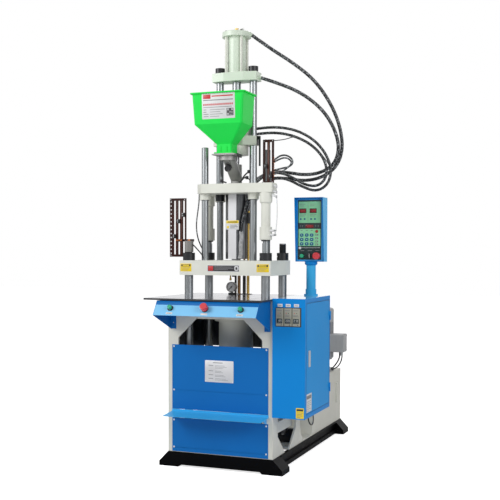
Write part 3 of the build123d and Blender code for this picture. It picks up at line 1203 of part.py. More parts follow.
def valve_block():
    """Manifold on the tank lid with three directional valves on top."""
    z0 = TANK_TOP
    body = block(VALVE_X - 120, VALVE_X + 120, VALVE_Y - 60, VALVE_Y + 60, z0, z0 + 80)
    for i in (-1, 0, 1):
        x = VALVE_X + i * 76
        body += block(x - 24, x + 24, VALVE_Y - 36, VALVE_Y + 36, z0 + 80, z0 + 134)
        body += rod_y(x, z0 + 107, VALVE_Y - 100, VALVE_Y - 36, 22)
        body += rod_y(x, z0 + 107, VALVE_Y + 36, VALVE_Y + 100, 22)
    return body


# Hoses: straight runs joined by tangent arcs as large as the runs allow

def bend_radii(points):
    radii = []
    for a, b, c in zip(points, points[1:], points[2:]):
        run_in, run_out = Vector(*b) - Vector(*a), Vector(*c) - Vector(*b)
        turn = radians(run_in.get_angle(run_out))
        radii.append(0.45 * min(run_in.length, run_out.length) / tan(turn / 2))
    return radii


def hose(points, r, name):
    radii = bend_radii(points)
    print(name, "bend radii", [round(v) for v in radii])
    path = FilletPolyline(*points, radius=radii)
    start = Vector(*points[1]) - Vector(*points[0])
    tube = sweep(Plane(origin=points[0], z_dir=start) * Circle(r), path=path)
    ratio = tube.volume / (pi * r * r * path.length)
    print(name, "length", round(path.length), "volume ratio", round(ratio, 4))
    return tube


# Write every node
save("base_frame", base_frame())
save("body_frame", body_frame())
save("oil_tank", *oil_tank())
save("work_table", work_table())
save("front_covers", cover(SHELF_Z + SHELF_UPSTAND + 1, COVER_TOP_Z, (COVER_TOP_Z - 10, 434)),
     cover(COVER_LOW_Z, SHELF_Z - SHELF_BRACKET_H - 1, (COVER_LOW_Z + 24, 265)))
save("front_shelf", front_shelf())
save("console", console())
save("left_start_button", push_button(console_point(-BUTTON_X), BUTTON_R, BUTTON_H, BUTTON_STEM_R, 14, 6))
save("right_start_button", push_button(console_point(BUTTON_X), BUTTON_R, BUTTON_H, BUTTON_STEM_R, 14, 6))
save("console_stop_button", push_button(console_point(0), STOP_R, STOP_H, STOP_STEM_R, 16, 10))
save("cabinet_shell", cabinet_shell())
save("cabinet_door", cabinet_door())
save("door_latch", door_latch())
save("temperature_controllers", *[temperature_controller(i) for i in range(3)])
save("switchgear", switchgear())
save("pendant_post", pendant_post())
save("pendant_box", pendant_box())
save("pendant_panel", pendant_panel())
save("pendant_start_button", push_button(pendant_plane(PENDANT_START_X, PENDANT_ROW_Z),
                                         BUTTON_R, BUTTON_H, BUTTON_STEM_R, 14, 6))
save("pendant_selector", pendant_selector())
save("pendant_stop_button", push_button(pendant_plane(PENDANT_START_X + 2 * PENDANT_PITCH, PENDANT_ROW_Z),
                                        STOP_R, STOP_H, STOP_STEM_R, 16, 10))
save("clamp_cylinder", clamp_cylinder())
save("crosshead", *crosshead())
save("tie_bars", *[tie_bar(x, y) for x, y in TIE_PLACES])
save("tie_bar_nuts", *[tie_bar_nut(x, y, z) for x, y in TIE_PLACES
                       for z in (PLATEN_TOP, CROSSHEAD_LOW_Z - NUT_H)])
save("tie_bar_bushes", *[tie_bar_bush(x, y) for x, y in TIE_PLACES])
save("moving_platen", moving_platen())
save("guide_columns", *[guide_column(x, y) for x, y in COLUMN_PLACES])
save("left_switch_board", *left_switch_board())
save("carriage_plate", carriage_plate())
save("carriage_cylinders", *[touch_cylinder(x, y) for x, y in TOUCH_PLACES])
save("injection_rods", injection_rod(-1), injection_rod(1))
save("injector_fasteners", *injector_fasteners())
save("top_plate", top_plate())
save("injection_cylinder", injection_cylinder())
save("cylinder_cap", cylinder_cap())
save("barrel", *barrel())
save("heater_bands", *[heater_band(i) for i in range(3)])
save("barrel_guard", barrel_guard())
save("feed_throat", feed_throat())
save("hopper", hopper())
save("hopper_gate", hopper_gate())
save("right_switch_board", *right_switch_board())
save("injection_plate", injection_plate())
save("drive_motor", drive_motor())
save("piston_rod", piston_rod())
save("feed_screw", feed_screw())
save("pressure_gauge", pressure_gauge())
save("gauge_needle", gauge_needle())
save("clamp_pipes", clamp_pipes())
save("carriage_pipes", carriage_pipes())
save("motor_housing", motor_housing())
save("motor_rotor", motor_rotor())
save("hydraulic_pump", hydraulic_pump())
save("valve_block", valve_block())
save("hose_top", hose(HOSE_TOP, HOSE_R, "hose_top"))
save("hose_plate", hose(HOSE_PLATE, HOSE_R, "hose_plate"))
save("hose_motor_a", hose(HOSE_MOTOR_A, MOTOR_HOSE_R, "hose_motor_a"))
save("hose_motor_b", hose(HOSE_MOTOR_B, MOTOR_HOSE_R, "hose_motor_b"))
save("switch_cable", hose(SWITCH_CABLE, CABLE_R, "switch_cable"))
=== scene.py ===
import json
import math

import bmesh
import bpy
from mathutils import Matrix, Vector


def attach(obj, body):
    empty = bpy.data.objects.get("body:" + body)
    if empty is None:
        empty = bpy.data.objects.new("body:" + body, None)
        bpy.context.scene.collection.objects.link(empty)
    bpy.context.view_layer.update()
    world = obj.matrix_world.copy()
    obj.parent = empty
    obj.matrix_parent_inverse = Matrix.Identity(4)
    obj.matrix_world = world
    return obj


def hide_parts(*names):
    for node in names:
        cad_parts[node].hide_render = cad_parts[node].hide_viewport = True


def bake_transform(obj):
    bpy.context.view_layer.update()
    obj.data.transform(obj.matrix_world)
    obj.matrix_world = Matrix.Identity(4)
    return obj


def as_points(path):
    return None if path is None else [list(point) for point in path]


# Vertical injection moulding machine, dressed for the studio.
# Places are written in millimetres from the middle of the body's front face, on the floor,
# with X to the right, Y to the back and Z up; at() moves them into the frame, in metres.

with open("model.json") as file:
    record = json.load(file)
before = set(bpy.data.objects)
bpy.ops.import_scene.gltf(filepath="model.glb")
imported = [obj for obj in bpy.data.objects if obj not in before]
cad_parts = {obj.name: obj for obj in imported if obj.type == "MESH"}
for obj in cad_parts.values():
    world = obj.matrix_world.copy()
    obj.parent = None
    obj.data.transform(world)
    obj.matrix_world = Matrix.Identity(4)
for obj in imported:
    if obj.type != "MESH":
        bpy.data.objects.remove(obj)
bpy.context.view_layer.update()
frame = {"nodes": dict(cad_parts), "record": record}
nodes = frame["nodes"]

MM = 0.001
ORIGIN_Y = 676.0            # body's front face to the centre of the anchor holes
AXIS_Y = 242.0              # axis of the clamp unit and of the injection unit


def at(x, y, z):
    return Vector((x, y - ORIGIN_Y, z)) * MM


def new_object(name, data):
    """Object with this data, linked into the scene."""
    o = bpy.data.objects.new(name, data)
    bpy.context.scene.collection.objects.link(o)
    return o


# Camera, as the photograph was taken
CAMERA_AZIMUTH = math.radians(21.079)
CAMERA_PITCH = math.radians(2.319)
CAMERA_ROLL = math.radians(-0.186)
CAMERA_DISTANCE = 5079.4
CAMERA_SIDE = 166.1
CAMERA_Z = 1213.4
SENSOR = 36.0
FOCAL_PIXELS = 928.7
FRAME_PIXELS = 500.0
CENTRE_ROW = 288.08


def make_camera():
    side = Vector((math.cos(CAMERA_AZIMUTH), math.sin(CAMERA_AZIMUTH), 0))
    back = Vector((math.sin(CAMERA_AZIMUTH), -math.cos(CAMERA_AZIMUTH), 0))
    forward = -back * math.cos(CAMERA_PITCH) - Vector((0, 0, math.sin(CAMERA_PITCH)))
    up = side.cross(forward)
    cos_r, sin_r = math.cos(CAMERA_ROLL), math.sin(CAMERA_ROLL)
    axes = Matrix((side * cos_r - up * sin_r, side * sin_r + up * cos_r, -forward)).transposed()
    place = back * CAMERA_DISTANCE + side * CAMERA_SIDE
    data = bpy.data.cameras.new("camera")
    data.sensor_width = SENSOR
    data.lens = FOCAL_PIXELS * SENSOR / FRAME_PIXELS
    data.shift_y = (CENTRE_ROW - FRAME_PIXELS / 2) / FRAME_PIXELS
    data.clip_end = 100
    camera = new_object("camera", data)
    camera.matrix_world = Matrix.Translation(at(place.x, place.y, CAMERA_Z)) @ axes.to_4x4()
    bpy.context.scene.camera = camera


make_camera()


# Materials

MATERIALS = {}              # every finish by its name; each slot of a part has one of its own name


def new_material(name):
    m = bpy.data.materials.new(name)
    MATERIALS[name] = m
    m.use_nodes = True
    return m, m.node_tree.nodes, m.node_tree.links, m.node_tree.nodes["Principled BSDF"]


def put(node, values):
    """Values for a node's inputs, by the inputs' names."""
    for name, value in values.items():
        node.inputs[name].default_value = value


def noise(tree_nodes, links, scale, detail=3.0, stretch=(1, 1, 1)):
    """Noise in object space; its scale is in features per metre."""
    place = tree_nodes.new("ShaderNodeTexCoord")
    mapping = tree_nodes.new("ShaderNodeMapping")
    put(mapping, {"Scale": stretch})
    links.new(place.outputs["Object"], mapping.inputs["Vector"])
    texture = tree_nodes.new("ShaderNodeTexNoise")
    put(texture, {"Scale": scale, "Detail": detail})
    links.new(mapping.outputs["Vector"], texture.inputs["Vector"])
    return texture.outputs["Fac"]


def ramp(tree_nodes, links, factor, low, high, start=0.3, end=0.7):
    """Colour ramp between two colours, or between two greys."""
    r = tree_nodes.new("ShaderNodeValToRGB")
    r.color_ramp.elements[0].position = start
    r.color_ramp.elements[1].position = end
    for element, value in zip(r.color_ramp.elements, (low, high)):
        colour = (value,) * 3 if isinstance(value, float) else value
        element.color = (*colour, 1)
    links.new(factor, r.inputs["Fac"])
    return r.outputs["Color"]


LEAST_ROUGH = 0.02
COAT_ROUGH = 0.08


def relief(n, links, shader, height, strength, depth_mm):
    """Grain that stands out of the surface."""
    bump = n.new("ShaderNodeBump")
    put(bump, {"Strength": strength, "Distance": depth_mm * MM})
    links.new(height, bump.inputs["Height"])
    links.new(bump.outputs["Normal"], shader.inputs["Normal"])


def surface(name, colour, rough, metal=0.0, vary=0.05, grain=500, bump=0.03, bump_mm=0.2,
            stretch=(1, 1, 1), coat=0.0, rough_vary=0.06, patch=6.0, specular=0.5):
    """A finish whose tone, gloss and grain vary over the surface."""
    m, n, links, shader = new_material(name)
    tone = noise(n, links, patch, 4.0)
    dark = tuple(c * (1 - vary) for c in colour)
    light = tuple(min(1.0, c * (1 + vary)) for c in colour)
    links.new(ramp(n, links, tone, dark, light), shader.inputs["Base Color"])
    fine = noise(n, links, grain, 2.0, stretch)
    low, high = max(LEAST_ROUGH, rough - rough_vary), rough + rough_vary
    links.new(ramp(n, links, fine, low, high), shader.inputs["Roughness"])
    relief(n, links, shader, fine, bump, bump_mm)
    put(shader, {"Metallic": metal, "Specular IOR Level": specular,
                 "Coat Weight": coat, "Coat Roughness": COAT_ROUGH})
    return m


def blue_paint(name, colour, rough, specular, vary=0.03, bump=0.1, patch=2.0):
    """Paint on sheet metal, whose tone drifts over wide patches."""
    return surface(name, colour, rough, vary=vary, bump=bump, patch=patch, specular=specular)


def glow(name, colour, strength):
    """A lit display segment or lamp."""
    m, n, links, shader = new_material(name)
    tone = noise(n, links, 400.0)
    links.new(ramp(n, links, tone, tuple(c * 0.8 for c in colour), colour), shader.inputs["Base Color"])
    put(shader, {"Emission Color": (*colour, 1), "Emission Strength": strength, "Roughness": 0.4})
    return m


# Painted highlights on the hoses and cables: broken bright flecks along the spiral wrap
FLECK_GRAIN = 120.0
FLECK_START, FLECK_END = 0.52, 0.66


def flecked_with_painted_highlights(name, colour, fleck):
    """Black rubber whose spiral wrap shows bright in broken flecks, painted highlights on the wrap's ridges.
    """
    m, n, links, shader = new_material(name)
    patches = noise(n, links, FLECK_GRAIN, 4.0)
    links.new(ramp(n, links, patches, colour, fleck, FLECK_START, FLECK_END), shader.inputs["Base Color"])
    fine = noise(n, links, 500.0, 2.0)
    links.new(ramp(n, links, fine, 0.3, 0.55), shader.inputs["Roughness"])
    relief(n, links, shader, fine, 0.2, 0.4)
    return m


def clear(name, colour, rough):
    """Clear plastic or glass."""
    m, n, links, shader = new_material(name)
    fine = noise(n, links, 200.0, 2.0)
    links.new(ramp(n, links, fine, rough, rough + 0.06), shader.inputs["Roughness"])
    put(shader, {"Base Color": (*colour, 1), "Transmission Weight": 1.0, "IOR": 1.3})
    return m


surface("base_black", (0.0015, 0.0015, 0.002), 0.4, grain=260, bump=0.2, specular=0.05)
surface("frame_paint", (0.68, 0.675, 0.61), 0.42, grain=420, bump=0.12)
PLATE_PAINT = surface("plate_paint", (0.74, 0.75, 0.68), 0.34, grain=420, bump=0.12)
surface("polished_steel", (0.36, 0.36, 0.4), 0.16, 1.0, vary=0.1, grain=60, bump=0.0005,
        stretch=(1, 0.05, 1), patch=5.0, rough_vary=0.04)
COVER_BLUE = blue_paint("cover_blue", (0.003, 0.145, 0.47), 0.45, 0.15, vary=0.05)
SHELF_BLUE = blue_paint("shelf_blue", (0.05, 0.38, 0.82), 0.34, 0.3)
blue_paint("cabinet_blue", (0.003, 0.24, 0.68), 0.42, 0.15)
blue_paint("panel_paint", (0.003, 0.24, 0.68), 0.42, 0.15, patch=6.0)
surface("chrome", (0.27, 0.285, 0.295), 0.34, 1.0, vary=0.04, grain=60, bump=0.0005,
        stretch=(1, 1, 0.05), rough_vary=0.01)
BLACK_STEEL = surface("black_steel", (0.016, 0.017, 0.02), 0.34, 0.3, vary=0.3, grain=300, bump=0.1)
STEEL = surface("tool_steel", (0.3, 0.3, 0.31), 0.3, 1.0, vary=0.1, grain=300, bump=0.06)
GUARD_STEEL = surface("guard_steel", (0.66, 0.66, 0.68), 0.34, 0.6, grain=90, bump=0.01,
                      stretch=(1, 1, 0.08))
BRASS = surface("brass", (0.5, 0.33, 0.09), 0.3, 0.9, vary=0.15, grain=300, bump=0.05)
CASTING = surface("casting", (0.33, 0.33, 0.32), 0.5, 0.45, vary=0.25, grain=420, bump=0.35, bump_mm=0.5)
MOTOR_GREY = surface("motor_grey", (0.4, 0.41, 0.42), 0.42, grain=420, bump=0.12)
DARK_PLASTIC = surface("dark_plastic", (0.016, 0.016, 0.018), 0.42, vary=0.2, grain=1100, bump=0.12)
surface("green_plastic", (0.01, 0.4, 0.2), 0.2, vary=0.08, grain=700, bump=0.04, coat=0.3)
surface("red_plastic", (0.68, 0.03, 0.045), 0.24, vary=0.08, grain=700, bump=0.04, coat=0.3)
HOPPER_GREEN = surface("hopper_green", (0.012, 0.78, 0.085), 0.4, vary=0.04, grain=350, bump=0.06,
                       patch=4.0, specular=0.2)
surface("board_brown", (0.03, 0.006, 0.004), 0.3, vary=0.5, grain=160, bump=0.05, stretch=(1, 1, 5),
        specular=0.2)
RUBBER = flecked_with_painted_highlights("hose_rubber", (0.016, 0.017, 0.02), (0.36, 0.38, 0.4))
ENAMEL = surface("white_enamel", (0.8, 0.8, 0.78), 0.3, vary=0.02, bump=0.05)
CABLE_BLACK = surface("cable_black", (0.012, 0.012, 0.013), 0.35, vary=0.2, grain=900, bump=0.06)
CABLE_WHITE = surface("cable_white", (0.6, 0.6, 0.62), 0.5, vary=0.3, grain=200, bump=0.3, patch=60)
PIPE_BROWN = surface("pipe_brown", (0.24, 0.13, 0.055), 0.35, 0.7, vary=0.2, grain=300, bump=0.05)
CAP_GREY = surface("cap_grey", (0.24, 0.235, 0.225), 0.5, 0.2, vary=0.12, grain=420, bump=0.1)
GUARD_SIDE = surface("guard_side", (0.13, 0.135, 0.145), 0.3, 0.8, vary=0.2, grain=90, bump=0.01,
                     stretch=(1, 1, 0.08))
# Painted light: a lighter copy of the console's blue for its sloped face, as lit from above
CONSOLE_FACE_LIT_BLUE = blue_paint("console_face_lit_blue", (0.22, 0.58, 0.92), 0.4, 0.3, vary=0.04)
# Painted reflection: a pale blue, far lighter than the cabinet's, for the white sheen on its glossy top
GLOSSY_TOP_PAINTED_SHEEN = surface("glossy_top_painted_sheen", (0.42, 0.7, 0.92), 0.05, vary=0.03, bump=0.01, coat=0.6, rough_vary=0.02)
# Painted light: a lighter copy of the cabinet blue for the door on the cabinet's right side
DOOR_LIT_BLUE = blue_paint("door_lit_blue", (0.012, 0.3, 0.74), 0.42, 0.1)
# Bright blue: the pendant post's paint, and painted light on the shelf's top and the pendant box's right
# side
BRIGHT_BLUE_AND_PAINTED_LIGHT = blue_paint("bright_blue_and_painted_light", (0.05, 0.46, 0.86), 0.36, 0.2, bump=0.08)
# Painted light: a lighter, greener copy of the plate paint for the green-tinged light on the upper parts
UPPER_LIT_PAINT = surface("upper_lit_paint", (0.71, 0.8, 0.68), 0.34, grain=420, bump=0.12)
# Painted shade: near black for the faces deep inside the body
INSIDE_PAINTED_SHADE = surface("inside_painted_shade", (0.02, 0.024, 0.034), 0.35, vary=0.3, grain=300, bump=0.1, patch=3.0)
DIAL_WHITE = surface("dial_white", (0.93, 0.93, 0.93), 0.4, vary=0.02, bump=0.01)
COPPER = surface("copper", (0.55, 0.19, 0.07), 0.3, 1.0, vary=0.15, grain=300, bump=0.05)
ORANGE_BROWN = surface("orange_brown", (0.1, 0.024, 0.01), 0.35, vary=0.3, grain=300, bump=0.05)
BEZEL_GREY = surface("bezel_grey", (0.34, 0.34, 0.28), 0.45, vary=0.06, grain=900, bump=0.08)
LABEL_WHITE = surface("label_white", (0.68, 0.69, 0.7), 0.4, vary=0.03, bump=0.02)
LABEL_YELLOW = surface("label_yellow", (0.86, 0.62, 0.015), 0.4, vary=0.04, bump=0.02)
LABEL_RED = surface("label_red", (0.55, 0.03, 0.035), 0.4, bump=0.02)
# Black print, and painted shade on the table's thin edges and round the controllers
INK_AND_PAINTED_SHADE = surface("ink_and_painted_shade", (0.025, 0.025, 0.028), 0.45, vary=0.2, bump=0.02)
INK_GREY = surface("ink_grey", (0.2, 0.2, 0.21), 0.45, vary=0.1, bump=0.02)
MEMBRANE = surface("membrane", (0.27, 0.68, 0.38), 0.4, vary=0.04, grain=700)
SEAM = surface("seam", (0.004, 0.075, 0.24), 0.5, vary=0.1, grain=700)
PANEL_DARK = surface("panel_dark", (0.012, 0.03, 0.032), 0.3, vary=0.1, grain=700)
KEY_BLUE = surface("key_blue", (0.01, 0.1, 0.26), 0.3, vary=0.08, grain=700, bump=0.04)
DISPLAY_DARK = surface("display_dark", (0.16, 0.008, 0.008), 0.25, vary=0.15, grain=700)
KEY_RED = surface("key_red", (0.36, 0.03, 0.02), 0.3, vary=0.08, grain=700, bump=0.04)
CLEAR_TUBE = clear("clear_tube", (0.9, 0.92, 0.94), 0.15)
DISPLAY_RED = glow("display_red", (0.5, 0.02, 0.03), 0.25)


ROUNDED = {
    "base_frame": 2.0, "body_frame": 2.0, "cabinet_shell": 2.0, "cabinet_door": 1.5, "front_covers": 0.5,
    "front_shelf": 1.0, "console": 1.0, "pendant_box": 1.5, "pendant_panel": 0.5, "work_table": 0.8,
    "moving_platen": 1.0, "carriage_plate": 1.2, "top_plate": 1.2, "injection_plate": 1.2, "oil_tank": 2.0,
    "barrel_guard": 0.3, "left_switch_board": 0.5, "right_switch_board": 0.5, "hopper_gate": 0.4,
    "crosshead": 1.5, "valve_block": 1.0, "switchgear": 1.0, "temperature_controllers": 0.6,
}
WELD = 0.01                 # points of one corner lie closer than this
EDGE_ANGLE = math.radians(40)


def dress_nodes():
    """Every part of the frame gets the finish of its slot, smooth curves and rounded edges."""
    for part in frame["record"]["subparts"]:
        o = nodes[part["node"]]
        o.data.materials.clear()
        o.data.materials.append(MATERIALS[part["material_slot"]])
        if part["node"] not in ROUNDED:
            o.data.shade_smooth()
        else:
            o.data.shade_flat()
            weld = o.modifiers.new("weld", "WELD")
            weld.merge_threshold = WELD * MM
            edge = o.modifiers.new("edge", "BEVEL")
            edge.width = ROUNDED[part["node"]] * MM
            edge.segments = 2
            edge.limit_method = "ANGLE"
            edge.angle_limit = EDGE_ANGLE


def paint(node, finish, inside):
    """Another finish on the faces of a part whose middles lie inside a region, in millimetres."""
    data = nodes[node].data
    data.materials.append(finish)
    index = len(data.materials) - 1
    for face in data.polygons:
        c = face.center / MM
        if inside(c.x, c.y + ORIGIN_Y, c.z):
            face.material_index = index


dress_nodes()
for name, finish in (
        # Painted light: lighter, greener paint on the top plate, injection cylinder and cap
        ("top_plate", UPPER_LIT_PAINT), ("injection_cylinder", UPPER_LIT_PAINT), ("cylinder_cap", UPPER_LIT_PAINT),
        # Painted light on the cabinet door: a lighter blue than the cabinet's front
        ("pendant_post", BRIGHT_BLUE_AND_PAINTED_LIGHT), ("gauge_needle", DARK_PLASTIC), ("cabinet_door", DOOR_LIT_BLUE),
        ("temperature_controllers", BEZEL_GREY), ("console", COVER_BLUE), ("door_latch", GUARD_STEEL)):
    nodes[name].data.materials[0] = finish
paint("injection_plate", BLACK_STEEL, lambda x, y, z: x > 130.9)
# Painted shade on the frame's inner faces
paint("body_frame", INSIDE_PAINTED_SHADE, lambda x, y, z: abs(x) < 300.8 and 14.5 < y < 470 and 93 < z < 834.5)
paint("cylinder_cap", BRASS, lambda x, y, z: z > 2442.5 and abs(x) < 12)
paint("injector_fasteners", PLATE_PAINT, lambda x, y, z: abs(x) < 60)
paint("clamp_pipes", DARK_PLASTIC, lambda x, y, z: x < -73)
paint("carriage_pipes", PIPE_BROWN, lambda x, y, z: x < -18 and z < 1372)
paint("left_switch_board", CAP_GREY, lambda x, y, z: x > -262 and z < 1268)
paint("left_switch_board", DARK_PLASTIC, lambda x, y, z: y < 138.9 and z > 1279 and x < -262)
paint("right_switch_board", DARK_PLASTIC, lambda x, y, z: y < 159.9)
# Painted shade: the steel table's thin front and side faces in black
paint("work_table", INK_AND_PAINTED_SHADE, lambda x, y, z: z < 953.4 and (y < -179 or x < -373 or x > 311))
# Painted light: the console's sloped face is lighter, as lit from above; its other faces keep the darker
# cover blue
paint("console", CONSOLE_FACE_LIT_BLUE,
      lambda x, y, z: abs(0.55 * (z - 903) - 0.835 * (y + 197)) < 1.5 and abs(x) < 296)
# Painted reflection: pale sheen on the cabinet's top
paint("cabinet_shell", GLOSSY_TOP_PAINTED_SHEEN, lambda x, y, z: z > 957.5)
# Painted highlight: the shelf's top in a lighter blue than its front
paint("front_shelf", BRIGHT_BLUE_AND_PAINTED_LIGHT, lambda x, y, z: z > 304)
paint("barrel_guard", GUARD_SIDE, lambda x, y, z: abs(x) > 25)
# Painted light: the pendant box's right side in a lighter blue than its front
paint("pendant_box", BRIGHT_BLUE_AND_PAINTED_LIGHT, lambda x, y, z: x > 483)
paint("feed_throat", DARK_PLASTIC, lambda x, y, z: y < 128 and z < 1700)
paint("pressure_gauge", BLACK_STEEL, lambda x, y, z: z < 971)
paint("pressure_gauge", LABEL_WHITE, lambda x, y, z: 409.5 < y < 410.5 and z > 966)
paint("tie_bars", STEEL, lambda x, y, z: z > 1158 and x * (y - AXIS_Y) > 0)


# Pieces of the scene

ROW = Matrix.Scale(MM, 4) @ Matrix.Translation((0, -ORIGIN_Y, 0))
SHARP = math.radians(35)
SEGMENTS = {"0": "abcdef", "1": "bc", "2": "abged", "4": "fgbc", "5": "afgcd", "8": "abcdefg"}
CORNER_STEPS = 4


def facing(origin, right, up):
    """Place on a face: X to the right, Y up the face and Z out of it."""
    x, y = Vector(right).normalized(), Vector(up).normalized()
    axes = Matrix((x, y, x.cross(y))).transposed()
    return Matrix.Translation(Vector(origin)) @ axes.to_4x4()


def front(y, x=0, z=0):
    return facing((x, y, z), (1, 0, 0), (0, 0, 1))


def right_side(x):
    return facing((x, 0, 0), (0, 1, 0), (0, 0, 1))


UPRIGHT = Matrix.Identity(4)


def rounded(x0, y0, x1, y1, r, z):
    """Rounded rectangle at one height."""
    out = []
    corners = ((x1 - r, y1 - r, 0), (x0 + r, y1 - r, 90), (x0 + r, y0 + r, 180), (x1 - r, y0 + r, 270))
    for cx, cy, start in corners:
        for k in range(CORNER_STEPS + 1):
            angle = math.radians(start + 90 * k / CORNER_STEPS)
            out.append((cx + r * math.cos(angle), cy + r * math.sin(angle), z))
    return out


def spline_line(points, step):
    """Points read from one smooth spline through the route, a step apart."""
    data = bpy.data.curves.new("route", "CURVE")
    data.dimensions = "3D"
    data.resolution_u = 24
    spline = data.splines.new("NURBS")
    spline.points.add(len(points) - 1)
    for p, q in zip(spline.points, points):
        p.co = (*at(*q), 1)
    spline.order_u = 3
    spline.use_endpoint_u = True
    holder = new_object("route", data)
    bpy.context.view_layer.update()
    evaluated = holder.evaluated_get(bpy.context.evaluated_depsgraph_get())
    mesh = bpy.data.meshes.new_from_object(evaluated)
    line = [v.co.copy() for v in mesh.vertices]
    bpy.data.objects.remove(holder)
    bpy.data.meshes.remove(mesh)
    return even_line(line, step)


def even_line(line, step):
    """The same line with its points evenly spaced."""
    lengths = [0.0]
    for a, b in zip(line, line[1:]):
        lengths.append(lengths[-1] + (b - a).length)
    count = max(2, round(lengths[-1] / step))
    out, i = [], 0
    for k in range(count + 1):
        s = lengths[-1] * k / count
        while i < len(line) - 2 and lengths[i + 1] < s:
            i += 1
        share = (s - lengths[i]) / max(1e-12, lengths[i + 1] - lengths[i])
        out.append(line[i].lerp(line[i + 1], min(1.0, share)))
    return out, lengths[-1]


def frames_along(line):
    """A side and an up vector at each point, turned as little as possible from one to the next."""
    out = []
    side = None
    for i in range(len(line)):
        ahead = (line[min(i + 1, len(line) - 1)] - line[max(i - 1, 0)]).normalized()
        if side is None:
            side = ahead.orthogonal().normalized()
        side = (side - ahead * side.dot(ahead)).normalized()
        out.append((side.copy(), ahead.cross(side)))
    return out


def rings_along(line, radius_at, sides):
    """Rings of points round a line, whose radius is a function of the place and the angle."""
    turn = [2 * math.pi * k / sides for k in range(sides)]
    return [[p + (side * math.cos(a) + up * math.sin(a)) * radius_at(i, a) for a in turn]
            for i, (p, (side, up)) in enumerate(zip(line, frames_along(line)))]


class Piece:
    """Forms gathered in one mesh, in millimetres, each in its own finish."""

    def __init__(self, name, place=UPRIGHT):
        self.name = name
        self.mesh = bmesh.new()
        self.finishes = []
        self.place = ROW @ place

    def on(self, place):
        self.place = ROW @ place

    def index(self, finish):
        if finish not in self.finishes:
            self.finishes.append(finish)
        return self.finishes.index(finish)

    def skin(self, rings, finish, loop=False):
        """Closed skin over rings in the mesh's own space; a loop joins its last ring to its first."""
        rows = [[self.mesh.verts.new(p) for p in ring] for ring in rings]
        count = len(rows[0])
        faces = []
        if loop:
            rows.append(rows[0])
        else:
            faces += [self.mesh.faces.new(rows[0][::-1]), self.mesh.faces.new(rows[-1])]
        for a, b in zip(rows, rows[1:]):
            for k in range(count):
                n = (k + 1) % count
                faces.append(self.mesh.faces.new((a[k], a[n], b[n], b[k])))
        for face in faces:
            face.material_index = self.index(finish)

    def rings(self, rings, finish, loop=False):
        self.skin([[self.place @ Vector(p) for p in ring] for ring in rings], finish, loop)

    def block(self, x0, y0, z0, x1, y1, z1, finish, corner=1.0, edge=0.3):
        """Block or plate with rounded corners and eased edges."""
        levels = ((z0, edge), (z0 + edge * 0.3, edge * 0.3), (z0 + edge, 0), (z1 - edge, 0),
                  (z1 - edge * 0.3, edge * 0.3), (z1, edge))
        self.rings([rounded(x0 + i, y0 + i, x1 - i, y1 - i, max(0.05, corner - i), z) for z, i in levels],
                   finish)

    def turned(self, cx, cy, profile, finish, sides=48, loop=False):
        """Turned form round the local Z; the profile holds radius and height, and a loop is a ring."""
        turn = [2 * math.pi * k / sides for k in range(sides)]
        rings = [[(cx + r * math.cos(a), cy + r * math.sin(a), z) for a in turn] for r, z in profile]
        self.rings(rings, finish, loop)

    def screw(self, cx, cy, r, z, finish=STEEL):
        """Pan head with its slot."""
        top = z + r * 0.6
        self.turned(cx, cy, [(r, z), (r, z + r * 0.25), (r * 0.8, z + r * 0.5), (r * 0.4, top)], finish, 24)
        half, thin = r * 0.6, r * 0.09
        self.block(cx - half, cy - thin, top - 0.1, cx + half, cy + thin, top + 0.05, INK_AND_PAINTED_SHADE, 0.05, 0.02)

    def tube(self, points, radius, finish, sides=14, step=4.0):
        """Round bar, straight between two points or on a smooth line through more."""
        if len(points) > 2:
            line, length = spline_line(points, step * MM)
        else:
            line, length = even_line([at(*p) for p in points], step * MM)
        self.skin(rings_along(line, lambda i, angle: radius * MM, sides), finish)
        return line, length

    def digit(self, x, y, w, h, value, finish, z):
        """One digit of bars, on the local face."""
        t = h * 0.11
        bars = {"a": (x, y + h - t, x + w, y + h), "d": (x, y, x + w, y + t),
                "g": (x, y + (h - t) / 2, x + w, y + (h + t) / 2),
                "f": (x, y + h / 2, x + t, y + h), "b": (x + w - t, y + h / 2, x + w, y + h),
                "e": (x, y, x + t, y + h / 2), "c": (x + w - t, y, x + w, y + h / 2)}
        for s in SEGMENTS[value]:
            x0, y0, x1, y1 = bars[s]
            self.block(x0, y0, z, x1, y1, z + 0.3, finish, t * 0.2, t * 0.1)

    def number(self, x, y, w, h, digits, finish, z):
        pitch = w * 1.5
        for i, value in enumerate(digits):
            self.digit(x + i * pitch, y, w, h, value, finish, z)

    def bar(self, x0, x1, y, z, thick, finish=INK_GREY):
        """Plain bar in place of a printed line."""
        self.block(x0, y, z, x1, y + thick, z + 0.15, finish, thick * 0.2, 0.05)

    def lines(self, x0, x1, heights, shares, z, thick):
        """Rows of plain bars, each as long as its share of the width."""
        for y, share in zip(heights, shares):
            self.bar(x0, x0 + (x1 - x0) * share, y, z, thick)

    def smooth_object(self):
        """The gathered forms as one smooth object."""
        data = bpy.data.meshes.new(self.name)
        bmesh.ops.recalc_face_normals(self.mesh, faces=self.mesh.faces)
        self.mesh.to_mesh(data)
        self.mesh.free()
        for finish in self.finishes:
            data.materials.append(finish)
        data.shade_smooth()
        return new_object(self.name, data)

    def done(self, body, slot):
        """The object with its sharp edges kept, riding a body."""
        o = self.smooth_object()
        o.data.set_sharp_from_angle(angle=SHARP)
        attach(o, body)
        return o


def rides(body, slot, place=UPRIGHT):
    """Builds the piece that a function describes, under the function's name, for a body."""
    def build(describe):
        p = Piece(describe.__name__, place)
        describe(p)
        p.done(body, slot)
        return describe
    return build


